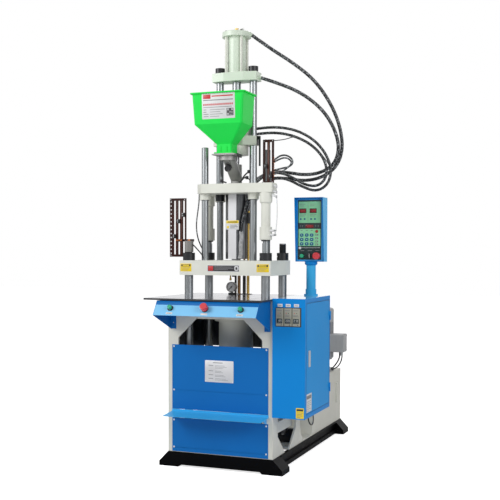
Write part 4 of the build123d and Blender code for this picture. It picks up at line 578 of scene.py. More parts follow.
# Cords: the same route points as the solids, each as the control points of one spline
HOSE_TOP = [
    (92, 246, 2422), (192, 268, 2346), (316, 316, 2264), (424, 366, 2172), (506, 412, 2044),
    (552, 448, 1912), (560, 476, 1786), (516, 490, 1688), (424, 490, 1632), (322, 486, 1618),
    (222, 482, 1636), (132, 480, 1640), (56, 478, 1600), (2, 474, 1532), (-42, 462, 1462),
    (-61, 448, 1394), (-63, 445, 1346), (-63, 445, 1300)]
HOSE_PLATE = [
    (150, 240, 2180), (266, 262, 2141), (376, 306, 2088), (470, 356, 2008), (528, 402, 1908),
    (550, 438, 1800), (518, 458, 1708), (436, 464, 1660), (334, 466, 1650), (234, 470, 1668),
    (146, 474, 1676), (62, 474, 1652), (-10, 470, 1598), (-60, 460, 1528), (-82, 449, 1456),
    (-85, 445, 1392), (-85, 445, 1330)]
HOSE_MOTOR_A = [
    (66, 296, 1902), (140, 304, 1912), (240, 322, 1912), (336, 350, 1890), (424, 380, 1836),
    (484, 402, 1758), (512, 416, 1668), (484, 430, 1586), (412, 440, 1552), (326, 445, 1582),
    (240, 447, 1628), (158, 448, 1640), (88, 448, 1614), (32, 447, 1564), (2, 446, 1514),
    (-6, 445, 1474), (-6, 445, 1440)]
HOSE_MOTOR_B = [
    (66, 300, 1872), (140, 306, 1882), (240, 322, 1880), (334, 348, 1854), (420, 374, 1802),
    (480, 399, 1722), (484, 418, 1632), (426, 434, 1580), (344, 441, 1592), (274, 445, 1634),
    (206, 448, 1664), (134, 448, 1668), (66, 448, 1636), (10, 447, 1578), (-23, 446, 1510),
    (-30, 445, 1442), (-30, 445, 1380)]
SWITCH_CABLE = [
    (-186, 140, 1531), (-186, 140, 1492), (-190, 130, 1432), (-196, 122, 1366), (-193, 124, 1302),
    (-181, 139, 1248), (-168, 160, 1212), (-163, 170, 1184), (-163, 170, 1157)]
SPIRAL_PITCH = 17.0         # one turn of the hoses' spiral wrap
SPIRAL_RELIEF = 0.09        # depth of the wrap's groove, as a share of the hose's radius
GROOVE_HALF = 0.16          # half of the groove's width, as a share of one turn
RINGS_PER_TURN = 8
HOSE_SIDES = 20


def wrapped_hose(node, points, diameter, length, body_a, body_b, start, end):
    """Hose in a spiral wrap, whose groove is real relief, along its route."""
    line, _ = spline_line(points, SPIRAL_PITCH * MM / RINGS_PER_TURN)
    radius = diameter * MM / 2

    def radius_at(i, angle):
        phase = (i / RINGS_PER_TURN + angle / (2 * math.pi)) % 1.0
        groove = max(0.0, 1 - abs(phase - 0.5) / GROOVE_HALF)
        return radius * (1 - SPIRAL_RELIEF * groove)

    piece = Piece(node + "_wrapped")
    piece.skin(rings_along(line, radius_at, HOSE_SIDES), RUBBER)
    hose = piece.smooth_object()
    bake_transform(hose)
    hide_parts(node)


TO_CLAMP = ("carriage", "clamp", (300, 470, 1640), (-60, 470, 1400))
TO_CARRIAGE = ("injector", "carriage", (100, 300, 1900), (400, 440, 1560))
wrapped_hose("hose_top", HOSE_TOP, 20, 1.786, *TO_CLAMP)
wrapped_hose("hose_plate", HOSE_PLATE, 20, 1.567, *TO_CLAMP)
wrapped_hose("hose_motor_a", HOSE_MOTOR_A, 16, 1.288, *TO_CARRIAGE)
wrapped_hose("hose_motor_b", HOSE_MOTOR_B, 16, 1.31, *TO_CARRIAGE)


def switch_cable():
    """Cable that hangs from the carriage plate to the platen."""
    line, _ = spline_line(SWITCH_CABLE, 5 * MM)
    piece = Piece("switch_cable_sheath")
    piece.skin(rings_along(line, lambda i, angle: 3.5 * MM, 16), RUBBER)
    cable = piece.smooth_object()
    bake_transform(cable)
    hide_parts("switch_cable")


switch_cable()


# Clamp unit and its plates

PLATEN_FRONT_Y = 61.5
PLATEN_LABEL_Z = 1095.0
PLATEN_LABEL_H = 44.0
TIE_X, TIE_OFFSET = 231, 142    # tie bars, from the axis


@rides("clamp", "plate_paint", front(PLATEN_FRONT_Y))
def platen_labels(p):
    """Two plain yellow plates and a dark one between them, with bars for print."""
    z0, z1 = PLATEN_LABEL_Z, PLATEN_LABEL_Z + PLATEN_LABEL_H
    for x0, x1 in ((-266, -198), (192, 264)):
        p.block(x0, z0, -0.3, x1, z1, 0.5, LABEL_YELLOW, 2)
        p.block(x0 + 5, z1 - 16, 0.4, x1 - 5, z1 - 4, 0.7, INK_AND_PAINTED_SHADE, 1, 0.1)
        p.block(x0 + 14, z1 - 13, 0.6, x1 - 14, z1 - 7, 0.9, LABEL_YELLOW, 0.5, 0.1)
        p.lines(x0 + 6, x1 - 6, (z0 + 20, z0 + 13, z0 + 6), (1.0, 0.86, 0.7), 0.4, 2.0)
    p.block(-101, z0, -0.3, 91, z1 - 6, 0.5, LABEL_WHITE, 2)
    p.block(-98, z0 + 3, 0.4, 88, z1 - 9, 0.7, INK_AND_PAINTED_SHADE, 1, 0.1)
    p.block(-95, z0 + 6, 0.6, -66, z1 - 12, 0.9, LABEL_RED, 1, 0.1)
    p.lines(-58, 56, (z0 + 25, z0 + 18, z0 + 11), (0.9, 1.0, 0.72), 0.6, 2.4)
    p.block(62, z0 + 6, 0.6, 86, z1 - 12, 0.9, LABEL_WHITE, 8, 0.1)
    p.block(68, z0 + 12, 0.8, 80, z1 - 18, 1.1, INK_AND_PAINTED_SHADE, 3, 0.1)


@rides("clamp", "black_steel")
def tie_threads(p):
    """Fine threads on the ends of the two tie bars that end in the clamp unit, and their end faces."""
    for side in (1, -1):
        x, y = side * TIE_X, AXIS_Y + side * TIE_OFFSET
        profile = [(19.05, 1200)]
        z = 1202.0
        while z < 1248:
            profile += [(19.05, z), (19.7, z + 1.0)]
            z += 2.0
        profile += [(19.05, z), (18.2, 1253.4), (6, 1253.8)]
        p.turned(x, y, profile, BLACK_STEEL)


@rides("clamp", "tool_steel", front(139))
def left_board_marks(p):
    """Scale marks on the left board, its two switches' screws and the copper contacts."""
    for k in range(14):
        z = 1193 + 22.5 * k
        p.block(-365, z, -0.1, -358, z + 7, 0.35, LABEL_WHITE, 1, 0.1)
    for x in (-325, -297):
        p.block(x - 1.2, 1192, -0.1, x + 1.2, 1496, 0.3, ORANGE_BROWN, 0.5, 0.1)
    for x, z in ((-339, 1293), (-312, 1379), (-282, 1415)):
        p.screw(x, z + 5, 3.4, 18.2)
        p.screw(x, z - 5, 3.4, 18.2)
    for x in (-328, -318, -304, -296):
        p.block(x - 2.4, 1268, 0.1, x + 2.4, 1273, 3.0, COPPER, 0.8)
    for x, z in ((-362, 1502), (-276, 1502), (-362, 1184), (-276, 1184)):
        p.screw(x, z, 4.2, 0)


@rides("carriage", "board_brown", front(160))
def right_board_marks(p):
    """Middle bar, copper contacts and screws of the board on the carriage."""
    p.block(219, 1600, -0.1, 226, 1812, 0.5, ORANGE_BROWN, 1)
    for k in range(9):
        z = 1620 + 13 * k
        p.turned(255.0, z, [(0.9, -6), (2.4, -5), (2.4, -1), (0.9, 0)], COPPER, 16)
    for x, z in ((209, 1678), (236, 1622)):
        p.screw(x, z, 3.2, 18.2)
    for x, z in ((197, 1817), (247, 1817), (197, 1590), (247, 1590)):
        p.screw(x, z, 3.6, 0)


@rides("clamp", "dark_plastic")
def cap_lead(p):
    """Short lead from the grey cap on the left tie bar down to the platen, and the cap's top fitting."""
    p.tube([(-206, 96, 1246), (-196, 96, 1238), (-182, 100, 1222), (-164, 108, 1200), (-150, 114, 1180),
            (-144, 117, 1158)], 3.4, CABLE_BLACK)
    p.turned(-231, 100, [(9, 1266.5), (9, 1270), (6, 1271), (6, 1276)], COPPER, 24)


@rides("frame", "motor_grey", right_side(380))
def terminal_lid(p):
    """Lid of the motor's terminal box with its ribs and screws."""
    p.block(1154, 555, -0.2, 1246, 665, 3, MOTOR_GREY, 5, 0.8)
    for z in (580, 610, 640):
        p.block(1164, z - 3, 2.6, 1236, z + 3, 5, MOTOR_GREY, 2, 0.6)
    for y in (1160, 1240):
        for z in (561, 659):
            p.screw(y, z, 4, 3)
    p.on(front(1150))
    for x in (300, 322, 344, 366):
        p.block(x - 2, 558, -0.2, x + 2, 662, 2.4, MOTOR_GREY, 1, 0.5)


# Injection unit

@rides("carriage", "guard_steel", front(180))
def guard_label(p):
    """Plain plate on the guard, a little wider than its front, with a yellow head."""
    p.block(-38, 1330, -0.2, 41, 1383, 1.0, LABEL_WHITE, 1.5)
    p.block(-36, 1366, 0.9, 39, 1382, 1.3, LABEL_YELLOW, 1, 0.1)
    p.bar(-28, 31, 1371, 1.2, 5.0, INK_AND_PAINTED_SHADE)
    p.block(-32, 1338, 0.9, -20, 1352, 1.2, LABEL_YELLOW, 1, 0.1)
    p.lines(-12, 34, (1354, 1346, 1339), (0.9, 1.0, 0.6), 0.9, 3.0)
    for x in (-33, 36):
        p.screw(x, 1334, 1.8, 1.0)


@rides("carriage", "hopper_green", facing((0, -33, 1898), (1, 0, 0), (0, -10, 170)))
def hopper_label(p):
    """Pale sticker on the hopper's front: red blocks, grey bars and a dark square."""
    p.block(-90, 26, -0.2, 103, 163, 0.4, LABEL_WHITE, 3, 0.2)
    p.block(-82, 134, 0.3, -38, 157, 0.6, LABEL_RED, 1, 0.1)
    p.block(-32, 144, 0.3, 92, 151, 0.6, LABEL_RED, 1, 0.1)
    p.bar(-82, 92, 124, 0.3, 5.0)
    for k in range(15):
        p.block(-82 + 11.8 * k, 98, 0.3, -74 + 11.8 * k, 108, 0.6, LABEL_RED, 1, 0.1)
    p.lines(-82, 92, (87,), (0.96,), 0.3, 3.0)
    for z, first, second in ((74, 0.6, 1.0), (62, 0.6, 0.7), (50, 1.0, 0.85), (38, 1.0, 0.62)):
        p.lines(-82, -52, (z,), (first,), 0.3, 3.4)
        p.lines(-44, 44, (z,), (second,), 0.3, 2.6)
    p.block(54, 40, 0.3, 94, 80, 0.6, INK_AND_PAINTED_SHADE, 1, 0.1)
    for x, y in ((58, 44), (58, 68), (82, 68)):
        p.block(x, y, 0.5, x + 9, y + 9, 0.8, LABEL_WHITE, 0.5, 0.1)
        p.block(x + 2.5, y + 2.5, 0.7, x + 6.5, y + 6.5, 1.0, INK_AND_PAINTED_SHADE, 0.3, 0.1)
    for k in range(12):
        x, y = 71 + 5.2 * (k % 4), 44 + 7.5 * (k // 4)
        p.block(x, y, 0.5, x + 2.6, y + 3.4, 0.8, LABEL_WHITE, 0.3, 0.1)


@rides("carriage", "hopper_green")
def hopper_neck_ribs(p):
    """Moulded ribs between the hopper's neck and its flange, and the flange's screws."""
    for x in (-18, 18):
        p.block(x - 1.5, 52, 1752, x + 1.5, 55.4, 1786, HOPPER_GREEN, 0.8)
        p.block(x - 1.5, 144.6, 1752, x + 1.5, 148, 1786, HOPPER_GREEN, 0.8)
    for x in (-50, 50):
        for y in (50, 150):
            p.screw(x, y, 4, 1752)


@rides("hopper_gate", "dark_plastic")
def gate_grip(p):
    """Black grip that covers the gate's turned-down handle and the tip at its other end."""
    p.block(68, 84, 1727, 75, 136, 1744, DARK_PLASTIC, 2)
    p.block(-48, 96, 1743.6, -42.5, 124, 1747.4, DARK_PLASTIC, 1)


@rides("carriage", "plate_paint")
def cap_fittings(p):
    """Socket screws in the end cap, and the small pale pipe fitting on it."""
    for k in range(4):
        angle = math.radians(45 + 90 * k)
        x, y = 64 * math.cos(angle), AXIS_Y + 64 * math.sin(angle)
        p.turned(x, y, [(8, 2441), (8, 2447), (7.4, 2448), (4.2, 2448), (4.0, 2445)], BLACK_STEEL, 32)
    p.turned(42, AXIS_Y - 20, [(11, 2441.5), (11, 2450), (8, 2451), (8, 2459), (6.6, 2461)], ENAMEL, 24)


@rides("carriage", "tool_steel")
def touch_fittings(p):
    """Fittings on the right touch cylinder, its clear pipe and the elbows at the carriage plate's end."""
    y = 82
    for z in (1298, 1322):
        p.tube([(258, y + 6, z), (286, y, z)], 6.5, LABEL_WHITE)
        p.tube([(284, y, z), (297, y, z)], 4.5, STEEL)
    p.tube([(292, y, z - 24), (293, y, z + 4)], 4.0, LABEL_WHITE)
    p.tube([(296, y, 1324), (300, y, 1350), (303, y, 1410), (303, y, 1450), (301, y, 1480), (299, y, 1502)],
           2.2, CLEAR_TUBE)
    for z in (1506, 1530, 1560):
        p.tube([(274, 86, z + 8), (286, 80, z + 6), (298, y, z)], 6.0, LABEL_WHITE)
        p.tube([(298, y, z - 8), (298, y, z + 8)], 4.6, STEEL)


@rides("carriage", "black_steel")
def wiper_rings(p):
    """Dark wiper rings where the touch rods enter their cylinders, and on the guide bosses."""
    for side in (1, -1):
        x, y = side * TIE_X, AXIS_Y - side * TIE_OFFSET
        p.turned(x, y, [(17, 1264), (24, 1264), (25, 1265), (25, 1270.6), (17, 1270.6)],
                 BLACK_STEEL, loop=True)
    for x in (-146, 146):
        for y in (132, 352):
            p.turned(x, y, [(19.4, 1494.6), (25, 1494.6), (26, 1496), (19.4, 1496)], DARK_PLASTIC, loop=True)


@rides("carriage", "hose_rubber")
def heater_leads(p):
    """Wrapped leads and cables of the heaters, and the oil pipe, behind the guard."""
    p.tube([(78, 222, 1530), (72, 219, 1480), (62, 210, 1425), (53, 200, 1375), (46, 195, 1319)],
           7.5, RUBBER)
    p.tube([(92, 234, 1530), (86, 230, 1490), (75, 224, 1445), (65, 214, 1405), (56, 205, 1372)],
           6.5, RUBBER)
    for dx, lean in ((0, 0), (5, 3), (-5, -3), (9, 6)):
        p.tube([(46 + dx, 195 + lean, 1322), (50 + dx, 197 + lean, 1285), (43 + dx, 192 + lean, 1240),
                (47 + dx, 195 + lean, 1200), (41 + dx, 190 + lean, 1168)], 3.2, CABLE_WHITE)
    p.tube([(69, 255, 1147), (69, 255, 1366)], 7.0, BRASS)
    p.tube([(70, 255, 1366), (70, 255, 1429)], 9.0, DARK_PLASTIC)
    p.tube([(70, 255, 1429), (70, 255, 1438)], 9.6, BRASS)
    p.tube([(70, 255, 1438), (72, 252, 1480), (78, 250, 1531)], 7.0, DARK_PLASTIC)
    p.tube([(69, 255, 1140), (69, 255, 1152)], 8.6, BLACK_STEEL)


@rides("carriage", "dark_plastic")
def throat_leads(p):
    """Thermocouple plugs and leads at the throat's foot."""
    for points, r in ((((32, 206, 1596), (48, 186, 1600), (66, 168, 1612), (88, 156, 1622),
                        (100, 150, 1618)), 4.5),
                      (((36, 216, 1600), (52, 200, 1616), (74, 190, 1640), (98, 184, 1654)), 4.0),
                      (((-44, 200, 1597), (-56, 190, 1600), (-64, 180, 1606)), 4.0),
                      (((100, 150, 1618), (120, 150, 1604), (138, 160, 1590), (150, 176, 1583)), 3.2)):
        p.tube(points, r, DARK_PLASTIC)
    for x, y, z in ((98, 184, 1654), (100, 150, 1618), (-64, 180, 1606)):
        p.turned(x, y, [(7, z - 9), (9, z - 7), (9, z + 7), (7, z + 9)], BLACK_STEEL, 24)


@rides("carriage", "black_steel", facing((0, 110.2, 1667.5), (1, 0, 0), (0, 0.31, -0.95)))
def spout_mouth(p):
    """Dark open end of the drain spout."""
    p.turned(0, 0, [(16.4, -3), (18.4, -2), (18.4, 3), (17.4, 4), (12.5, 4), (12, -1)],
             BLACK_STEEL, loop=True)


# Front of the machine

COVER_FACE_Y = -2.2


@rides("frame", "guard_steel", front(COVER_FACE_Y))
def nameplate(p):
    """Silver plate with four rivets and plain bars in place of print."""
    p.block(-86, 488, 0, 84, 608, 0.9, GUARD_STEEL, 3)
    p.bar(-38, 20, 594, 0.8, 4.0)
    for z, rows, share in ((577, 3, 0.9), (547, 2, 0.6), (525, 2, 0.8), (505, 2, 1.0)):
        p.bar(-64, -36, z + 2, 0.8, 3.0)
        p.lines(-26, 64, [z + 2 - 7 * k for k in range(rows)],
                [share * part for part in (0.72, 0.86, 0.6)[:rows]], 0.8, 1.8)
    for x in (-81, 79):
        for z in (493, 603):
            p.turned(x, z, [(3.6, 0.8), (3.4, 1.8), (1.8, 2.6)], ENAMEL, 24)


@rides("frame", "tool_steel", front(COVER_FACE_Y))
def cover_screws(p):
    for x in (-275, 275):
        for z in (678, 434, 265, 112):
            p.screw(x, z, 4.8, 0, ENAMEL)


@rides("frame", "tool_steel", facing((0, -197, 903), (1, 0, 0), (0, 0.55, 0.835)))
def console_trim(p):
    """Collars round the buttons, bare name strips below them, and along the top a dark band of painted
    shadow from the table's edge.
    """
    for x, r in ((-203, 11), (203, 11), (0, 14)):
        p.turned(x, 0, [(r + 6, 0), (r + 6, 1.6), (r + 4.6, 3.0), (r + 0.6, 3.0), (r + 0.4, 0.2)],
                 BLACK_STEEL, loop=True)
        p.block(x - 19, -37, 0, x + 19, -25, 0.6, LABEL_WHITE, 1)
    # Painted shadow: dark blue strip where the table's edge shades the face's upper part
    p.block(-296, 20, 0, 296, 45, 0.8, COVER_BLUE, 1)
    for x in (-203, 203):
        p.block(x - 14, -33.5, 0.5, x + 10, -30.5, 0.8, INK_GREY, 0.5, 0.1)


# Cabinet and pendant

CABINET_FACE_Y = -16.0
CONTROLLER_FACE_Y = -24.0


@rides("frame", "dark_plastic", front(CONTROLLER_FACE_Y))
def controller_faces(p):
    """Three controllers: dark display with digits, lamps and keys, and a bare strip above each; round them a
    black frame, partly painted shadow in the gap round their bezels.
    """
    for x, digits in ((356, "185"), (402, "200"), (448, "210")):
        p.block(x - 16, 826, 0, x + 16, 852, 0.7, PANEL_DARK, 1.5)
        p.number(x - 11, 836, 5.6, 11, digits, LABEL_WHITE, 0.6)
        p.bar(x - 11, x + 11, 830, 0.6, 2.0)
        p.lines(x - 15, x + 15, (870, 864), (0.9, 0.8), 0, 2.2)
        p.turned(x - 8, 881, [(2.2, 0), (2.2, 0.8), (1.4, 1.2)], LABEL_RED, 16)
        p.turned(x + 4, 881, [(2.2, 0), (2.2, 0.8), (1.4, 1.2)], INK_AND_PAINTED_SHADE, 16)
        p.bar(x - 15, x + 13, 894, 0, 3.4)
        p.turned(x + 10, 819, [(2.6, 0), (2.6, 0.8), (1.8, 1.2)], INK_AND_PAINTED_SHADE, 16)
    p.on(front(CABINET_FACE_Y))
    # Black frame round the controllers, partly painted shadow in the gap round them
    p.block(331, 808, -0.1, 475, 911, 0.6, INK_AND_PAINTED_SHADE, 1.5)
    for x in (356, 402, 448):
        p.block(x - 14, 914, 0, x + 14, 930, 0.6, LABEL_WHITE, 1)
        p.bar(x - 9, x + 9, 920, 0.5, 3.0)
    p.block(448, 322, 0, 492, 378, 0.6, LABEL_YELLOW, 2)
    p.block(452, 362, 0.5, 488, 373, 0.8, INK_AND_PAINTED_SHADE, 1, 0.1)
    p.lines(454, 486, (352, 344, 336, 328), (1.0, 0.85, 0.95, 0.6), 0.5, 2.4)


DOOR_FACE_X = 497


@rides("cabinet_door", "cabinet_blue", right_side(DOOR_FACE_X))
def door_sticker(p):
    """White sticker at the door's foot, with plain bars."""
    p.block(14, 349, -0.1, 104, 447, 0.6, LABEL_WHITE, 2)
    p.block(16, 420, 0.5, 98, 438, 0.8, INK_GREY, 1, 0.1)
    p.lines(18, 96, (404, 394, 384, 374, 364, 354), (1.0, 0.9, 0.96, 0.7, 0.88, 0.5), 0.5, 2.6)


PANEL_FACE_Y = 372.0


@rides("pendant", "panel_paint", front(PANEL_FACE_Y))
def pendant_face(p):
    """Membrane panel: green fields, displays with digits, keys and lamps."""
    p.block(318, 1155, -0.1, 480, 1510, 0.5, SHELF_BLUE, 2)
    p.block(326, 1162, 0.4, 466, 1500, 0.8, PANEL_DARK, 3)
    p.block(331, 1371, 0.7, 461, 1492, 1.1, MEMBRANE, 2)
    p.block(331, 1240, 0.7, 461, 1337, 1.1, MEMBRANE, 2)
    for x0, digits in ((337, "005"), (398, "120")):
        p.block(x0 - 2, 1426, 1.0, x0 + 40, 1453, 1.5, PANEL_DARK, 1)
        p.block(x0 + 1, 1430, 1.4, x0 + 37, 1449, 1.7, DISPLAY_DARK, 1)
        p.number(x0 + 6, 1432, 7, 14, digits, DISPLAY_RED, 1.6)
        p.lines(x0, x0 + 38, (1416, 1409), (1.0, 0.8), 1.0, 2.4)
        p.lines(x0, x0 + 38, (1466, 1476), (0.7, 0.9), 1.0, 2.4)
        for x in (x0 + 7, x0 + 30):
            p.turned(x, 1393, [(5.2, 1.0), (5.2, 1.8), (4.4, 2.2)], KEY_BLUE, 24)
    p.block(386, 1376, 1.0, 387.4, 1488, 1.2, INK_GREY, 0.3, 0.05)
    p.block(372, 1343, 0.7, 420, 1361, 1.3, DISPLAY_DARK, 1)
    p.number(379, 1346, 6, 12, "1084", DISPLAY_RED, 1.2)
    for x in (338, 350, 428, 444):
        p.lines(x, x + 8, (1355, 1348), (1.0, 0.8), 0.7, 2.2)
    for x in (350, 380, 409):
        for z in (1302, 1277, 1252):
            p.block(x - 10.5, z - 9, 1.0, x + 10.5, z + 9, 2.2, KEY_BLUE, 7)
            p.block(x - 3.6, z - 2.6, 2.1, x + 3.6, z + 2.6, 2.4, MEMBRANE, 1, 0.1)
        p.bar(x - 6, x + 6, 1326, 1.0, 3.0)
    p.turned(439, 1323, [(9, 1.0), (9, 2.2), (7.6, 2.8)], KEY_RED, 32)
    for z in (1303, 1284, 1266, 1249):
        p.block(430, z - 5, 1.0, 448, z + 5, 1.6, INK_GREY, 2)
        p.block(433, z - 2.4, 1.5, 441, z + 2.4, 1.9, MEMBRANE, 1, 0.1)
    p.bar(333, 458, 1229, 0.7, 2.0, LABEL_WHITE)
    p.block(332, 1222, 0.7, 346, 1235, 1.0, LABEL_WHITE, 2, 0.1)
    for x, w in ((343, 22), (386, 26), (432, 22)):
        p.bar(x, x + w, 1212, 0.7, 3.2)
    for x, r in ((355, 12.5), (399, 12.5), (443, 15.5)):
        p.turned(x, 1184, [(r + 3.4, 0.5), (r + 3.4, 2.0), (r + 2.4, 3.0), (r, 3.0), (r - 0.2, 0.6)],
                 BLACK_STEEL, loop=True)


@rides("pendant_selector", "dark_plastic", front(357))
def selector_mark(p):
    """White line along the selector's grip."""
    p.block(398, 1172, -0.2, 400.4, 1196, 0.4, LABEL_WHITE, 0.4, 0.1)


@rides("cabinet_door", "dark_plastic", right_side(DOOR_FACE_X))
def door_seam(p):
    """Dark rubber edge that shows all round the door, a little inside its outline."""
    y0, y1, z0, z1 = 8.5, 442.5, 342.0, 933.0
    width = 2.0             # leaves the turned latch clear, which reaches to Y 11
    for a, b, c, d in ((y0, z0, y1, z0 + width), (y0, z1 - width, y1, z1),
                       (y0, z0, y0 + width, z1), (y1 - width, z0, y1, z1)):
        p.block(a, b, -0.2, c, d, 0.4, SEAM, 0.5, 0.1)


@rides("frame", "black_steel")
def pipe_sleeves(p):
    """Guide tubes through which the thicker pipes slide, on a plate over the table's slot."""
    for x0, x1 in ((-79, -70), (-56, -37), (-23, -13), (1, 10)):
        p.block(x0, 422, 953.8, x1, 468, 957, STEEL, 1)
    for y0, y1 in ((422, 437), (453, 468)):
        p.block(-79, y0, 953.8, 10, y1, 957, STEEL, 1)
    for x, r, finish in ((-30, 9.6, DARK_PLASTIC), (-6, 8.6, BRASS), (-63, 9.6, PIPE_BROWN)):
        p.turned(x, 445, [(6.9, 953.6), (r + 3, 953.6), (r + 3, 958), (r, 960), (r, 1062), (r - 1, 1063),
                          (6.9, 1063)], finish, 40, loop=True)


@rides("clamp", "brass")
def platen_fitting(p):
    """Brass stub and black elbow that hang from the platen beside the gauge."""
    p.turned(-98, 396, [(5, 1036), (6.4, 1037.5), (6.4, 1048), (4.4, 1049), (4.4, 1075.2)], BRASS, 32)
    p.turned(-74, 386, [(9, 1058), (11, 1060), (11, 1075.2)], BLACK_STEEL, 6)


@rides("frame", "tool_steel", front(410, -98, 997))
def gauge_dial(p):
    """White dial with its marks, and the dark bezel round it."""
    p.turned(0, 0, [(27.4, 0.0), (27.4, 0.4), (27.0, 0.5)], DIAL_WHITE, 64)
    for k in range(31):
        angle = math.radians(225 - 9 * k)
        inner = 20.0 if k % 5 == 0 else 22.4
        outward = Vector((math.cos(angle), math.sin(angle)))
        a, b = outward * inner, outward * 24.6
        n = Vector((-math.sin(angle), math.cos(angle))) * (0.6 if k % 5 == 0 else 0.3)
        ring = [a + n, a - n, b - n, b + n]
        p.rings([[(q.x, q.y, z) for q in ring] for z in (0.4, 0.8)], LABEL_RED if k > 24 else INK_AND_PAINTED_SHADE)
    p.on(front(405, -98, 997))
    p.turned(0, 0, [(27.2, -1.0), (27.6, 1.2), (29.0, 2.4), (30.6, 2.2), (31.2, 0.8), (31.2, -6),
                    (30.2, -7)], CASTING, 64, loop=True)


# Thin wires

def free_wire(name, diameter, body, finish, slot, points):
    """One thin wire along its route, riding a body."""
    p = Piece(name)
    line, length = p.tube(points, diameter / 2, finish, 12, step=5.0)
    wire = p.done(body, slot)
    at(*points[0])
    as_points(line)


WIRES = {
    "board_wire": (5.0, "carriage", CABLE_BLACK, "dark_plastic", [
        (200, 172, 1826), (226, 186, 1821), (262, 200, 1823), (308, 210, 1829), (352, 222, 1844),
        (392, 246, 1834), (440, 286, 1796), (488, 336, 1742), (512, 392, 1682)]),
    "board_cable_a": (10.0, "carriage", RUBBER, "hose_rubber", [
        (246, 172, 1706), (262, 176, 1722), (290, 186, 1740), (322, 196, 1738), (348, 200, 1718),
        (352, 200, 1694), (334, 196, 1676), (300, 186, 1668), (268, 176, 1660), (246, 172, 1656)]),
    "motor_cable_a": (9.0, "frame", CABLE_BLACK, "dark_plastic", [
        (352, 1186, 548), (353, 1186, 528), (346, 1182, 500), (330, 1176, 472), (314, 1170, 452),
        (300, 1168, 440), (290, 1168, 427)]),
    "motor_cable_b": (8.0, "frame", CABLE_BLACK, "dark_plastic", [
        (362, 1206, 548), (363, 1206, 524), (360, 1200, 494), (346, 1190, 462), (326, 1184, 444),
        (306, 1180, 436), (298, 1180, 427)]),
    "cabinet_cable": (7.0, "frame", CABLE_BLACK, "dark_plastic", [
        (480, 96, 318), (482, 98, 292), (486, 116, 270), (489, 142, 262), (487, 168, 272),
        (483, 184, 294), (480, 186, 318)]),
    "board_cable_b": (9.0, "carriage", RUBBER, "hose_rubber", [
        (246, 174, 1698), (268, 180, 1712), (300, 190, 1726), (326, 198, 1722), (344, 202, 1702),
        (336, 200, 1682), (308, 190, 1658), (276, 180, 1640), (246, 174, 1634)]),
}


for name, wire in WIRES.items():
    free_wire(name, *wire)


# Studio

FLOOR_GLOW = 0.75
SKY = 0.3                  # strength of the light that comes from all round
LAMPS = (((-2.8, -3.6, 3.2), 2.2, 118), ((3.6, -2.8, 2.4), 1.8, 62), ((0, 1.8, 4.2), 2.2, 45))
CARDS = (((-2.6, -4.6, 1.3), 0.5), ((3.3, -3.3, 1.3), 0.45), ((-2.8, 0.6, 1.3), 1.4), ((2.8, 1.2, 1.3), 1.2))
CARD_HEIGHT = 3.4
MIDDLE = (0, -0.4)         # what the cards face
LAMP_AIM = (0, -0.2, 1.2)
FLOOR_SIZE = 40


def white_for_camera(n, links, plain, output):
    """A plain white of strength 1 for the camera and for reflections, and the other shader for light."""
    path = n.new("ShaderNodeLightPath")
    factor = path.outputs["Is Camera Ray"]
    for ray in ("Is Glossy Ray", "Is Transmission Ray"):
        either = n.new("ShaderNodeMath")
        either.operation = "MAXIMUM"
        links.new(factor, either.inputs[0])
        links.new(path.outputs[ray], either.inputs[1])
        factor = either.outputs[0]
    white = n.new("ShaderNodeBackground")
    put(white, {"Color": (1, 1, 1, 1)})
    choose = n.new("ShaderNodeMixShader")
    links.new(factor, choose.inputs[0])
    links.new(plain, choose.inputs[1])
    links.new(white.outputs[0], choose.inputs[2])
    links.new(choose.outputs[0], output)


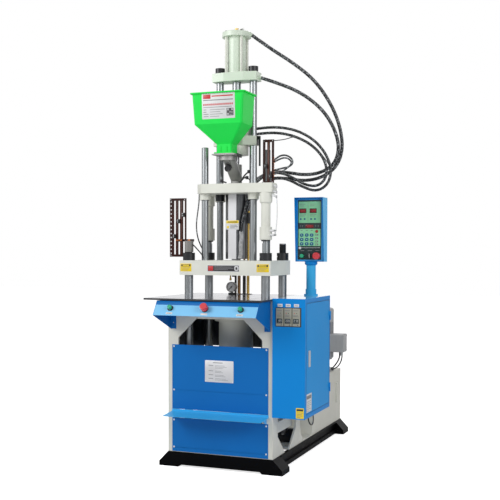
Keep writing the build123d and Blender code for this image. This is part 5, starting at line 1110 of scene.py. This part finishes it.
def make_floor():
    bpy.ops.mesh.primitive_plane_add(size=FLOOR_SIZE, location=(0, 0, 0))
    floor = bpy.context.object
    floor.name = "floor"
    m, n, links, shader = new_material("floor_paper")
    put(shader, {"Base Color": (0.9, 0.9, 0.9, 1), "Roughness": 0.8})
    path = n.new("ShaderNodeLightPath")
    pale = n.new("ShaderNodeEmission")
    put(pale, {"Strength": FLOOR_GLOW})
    lit = n.new("ShaderNodeAddShader")
    choose = n.new("ShaderNodeMixShader")
    links.new(shader.outputs[0], lit.inputs[0])
    links.new(pale.outputs[0], lit.inputs[1])
    links.new(path.outputs["Is Camera Ray"], choose.inputs[0])
    links.new(shader.outputs[0], choose.inputs[1])
    links.new(lit.outputs[0], choose.inputs[2])
    links.new(choose.outputs[0], n["Material Output"].inputs["Surface"])
    floor.data.materials.append(m)


def make_cards():
    """Dark cards that only reflections show, for the dark edges of bright metal."""
    m, _, _, shader = new_material("card_black")
    put(shader, {"Base Color": (0.01, 0.01, 0.01, 1)})
    for i, (place, width) in enumerate(CARDS):
        bpy.ops.mesh.primitive_plane_add(size=1, location=place)
        card = bpy.context.object
        card.name = f"card_{i}"
        card.scale = (width, CARD_HEIGHT, 1)
        away = Vector((MIDDLE[0] - place[0], MIDDLE[1] - place[1], 0))
        card.rotation_euler = away.to_track_quat("Z", "Y").to_euler()
        card.data.materials.append(m)
        card.visible_camera = False
        card.visible_diffuse = False
        card.visible_shadow = False
        card.visible_transmission = False


def make_lamps():
    for i, (place, size, power) in enumerate(LAMPS):
        data = bpy.data.lights.new(f"lamp_{i}", "AREA")
        data.size = size
        data.energy = power
        lamp = new_object(f"lamp_{i}", data)
        lamp.location = place
        aim = Vector(LAMP_AIM) - Vector(place)
        lamp.rotation_euler = aim.to_track_quat("-Z", "Y").to_euler()


def make_sky():
    world = bpy.data.worlds.new("world")
    bpy.context.scene.world = world
    world.use_nodes = True
    n, links = world.node_tree.nodes, world.node_tree.links
    light = n["Background"]
    put(light, {"Color": (1, 1, 1, 1), "Strength": SKY})
    white_for_camera(n, links, light.outputs[0], n["World Output"].inputs["Surface"])


make_floor()
make_sky()
make_lamps()
make_cards()
bpy.context.scene.view_settings.view_transform = "Standard"
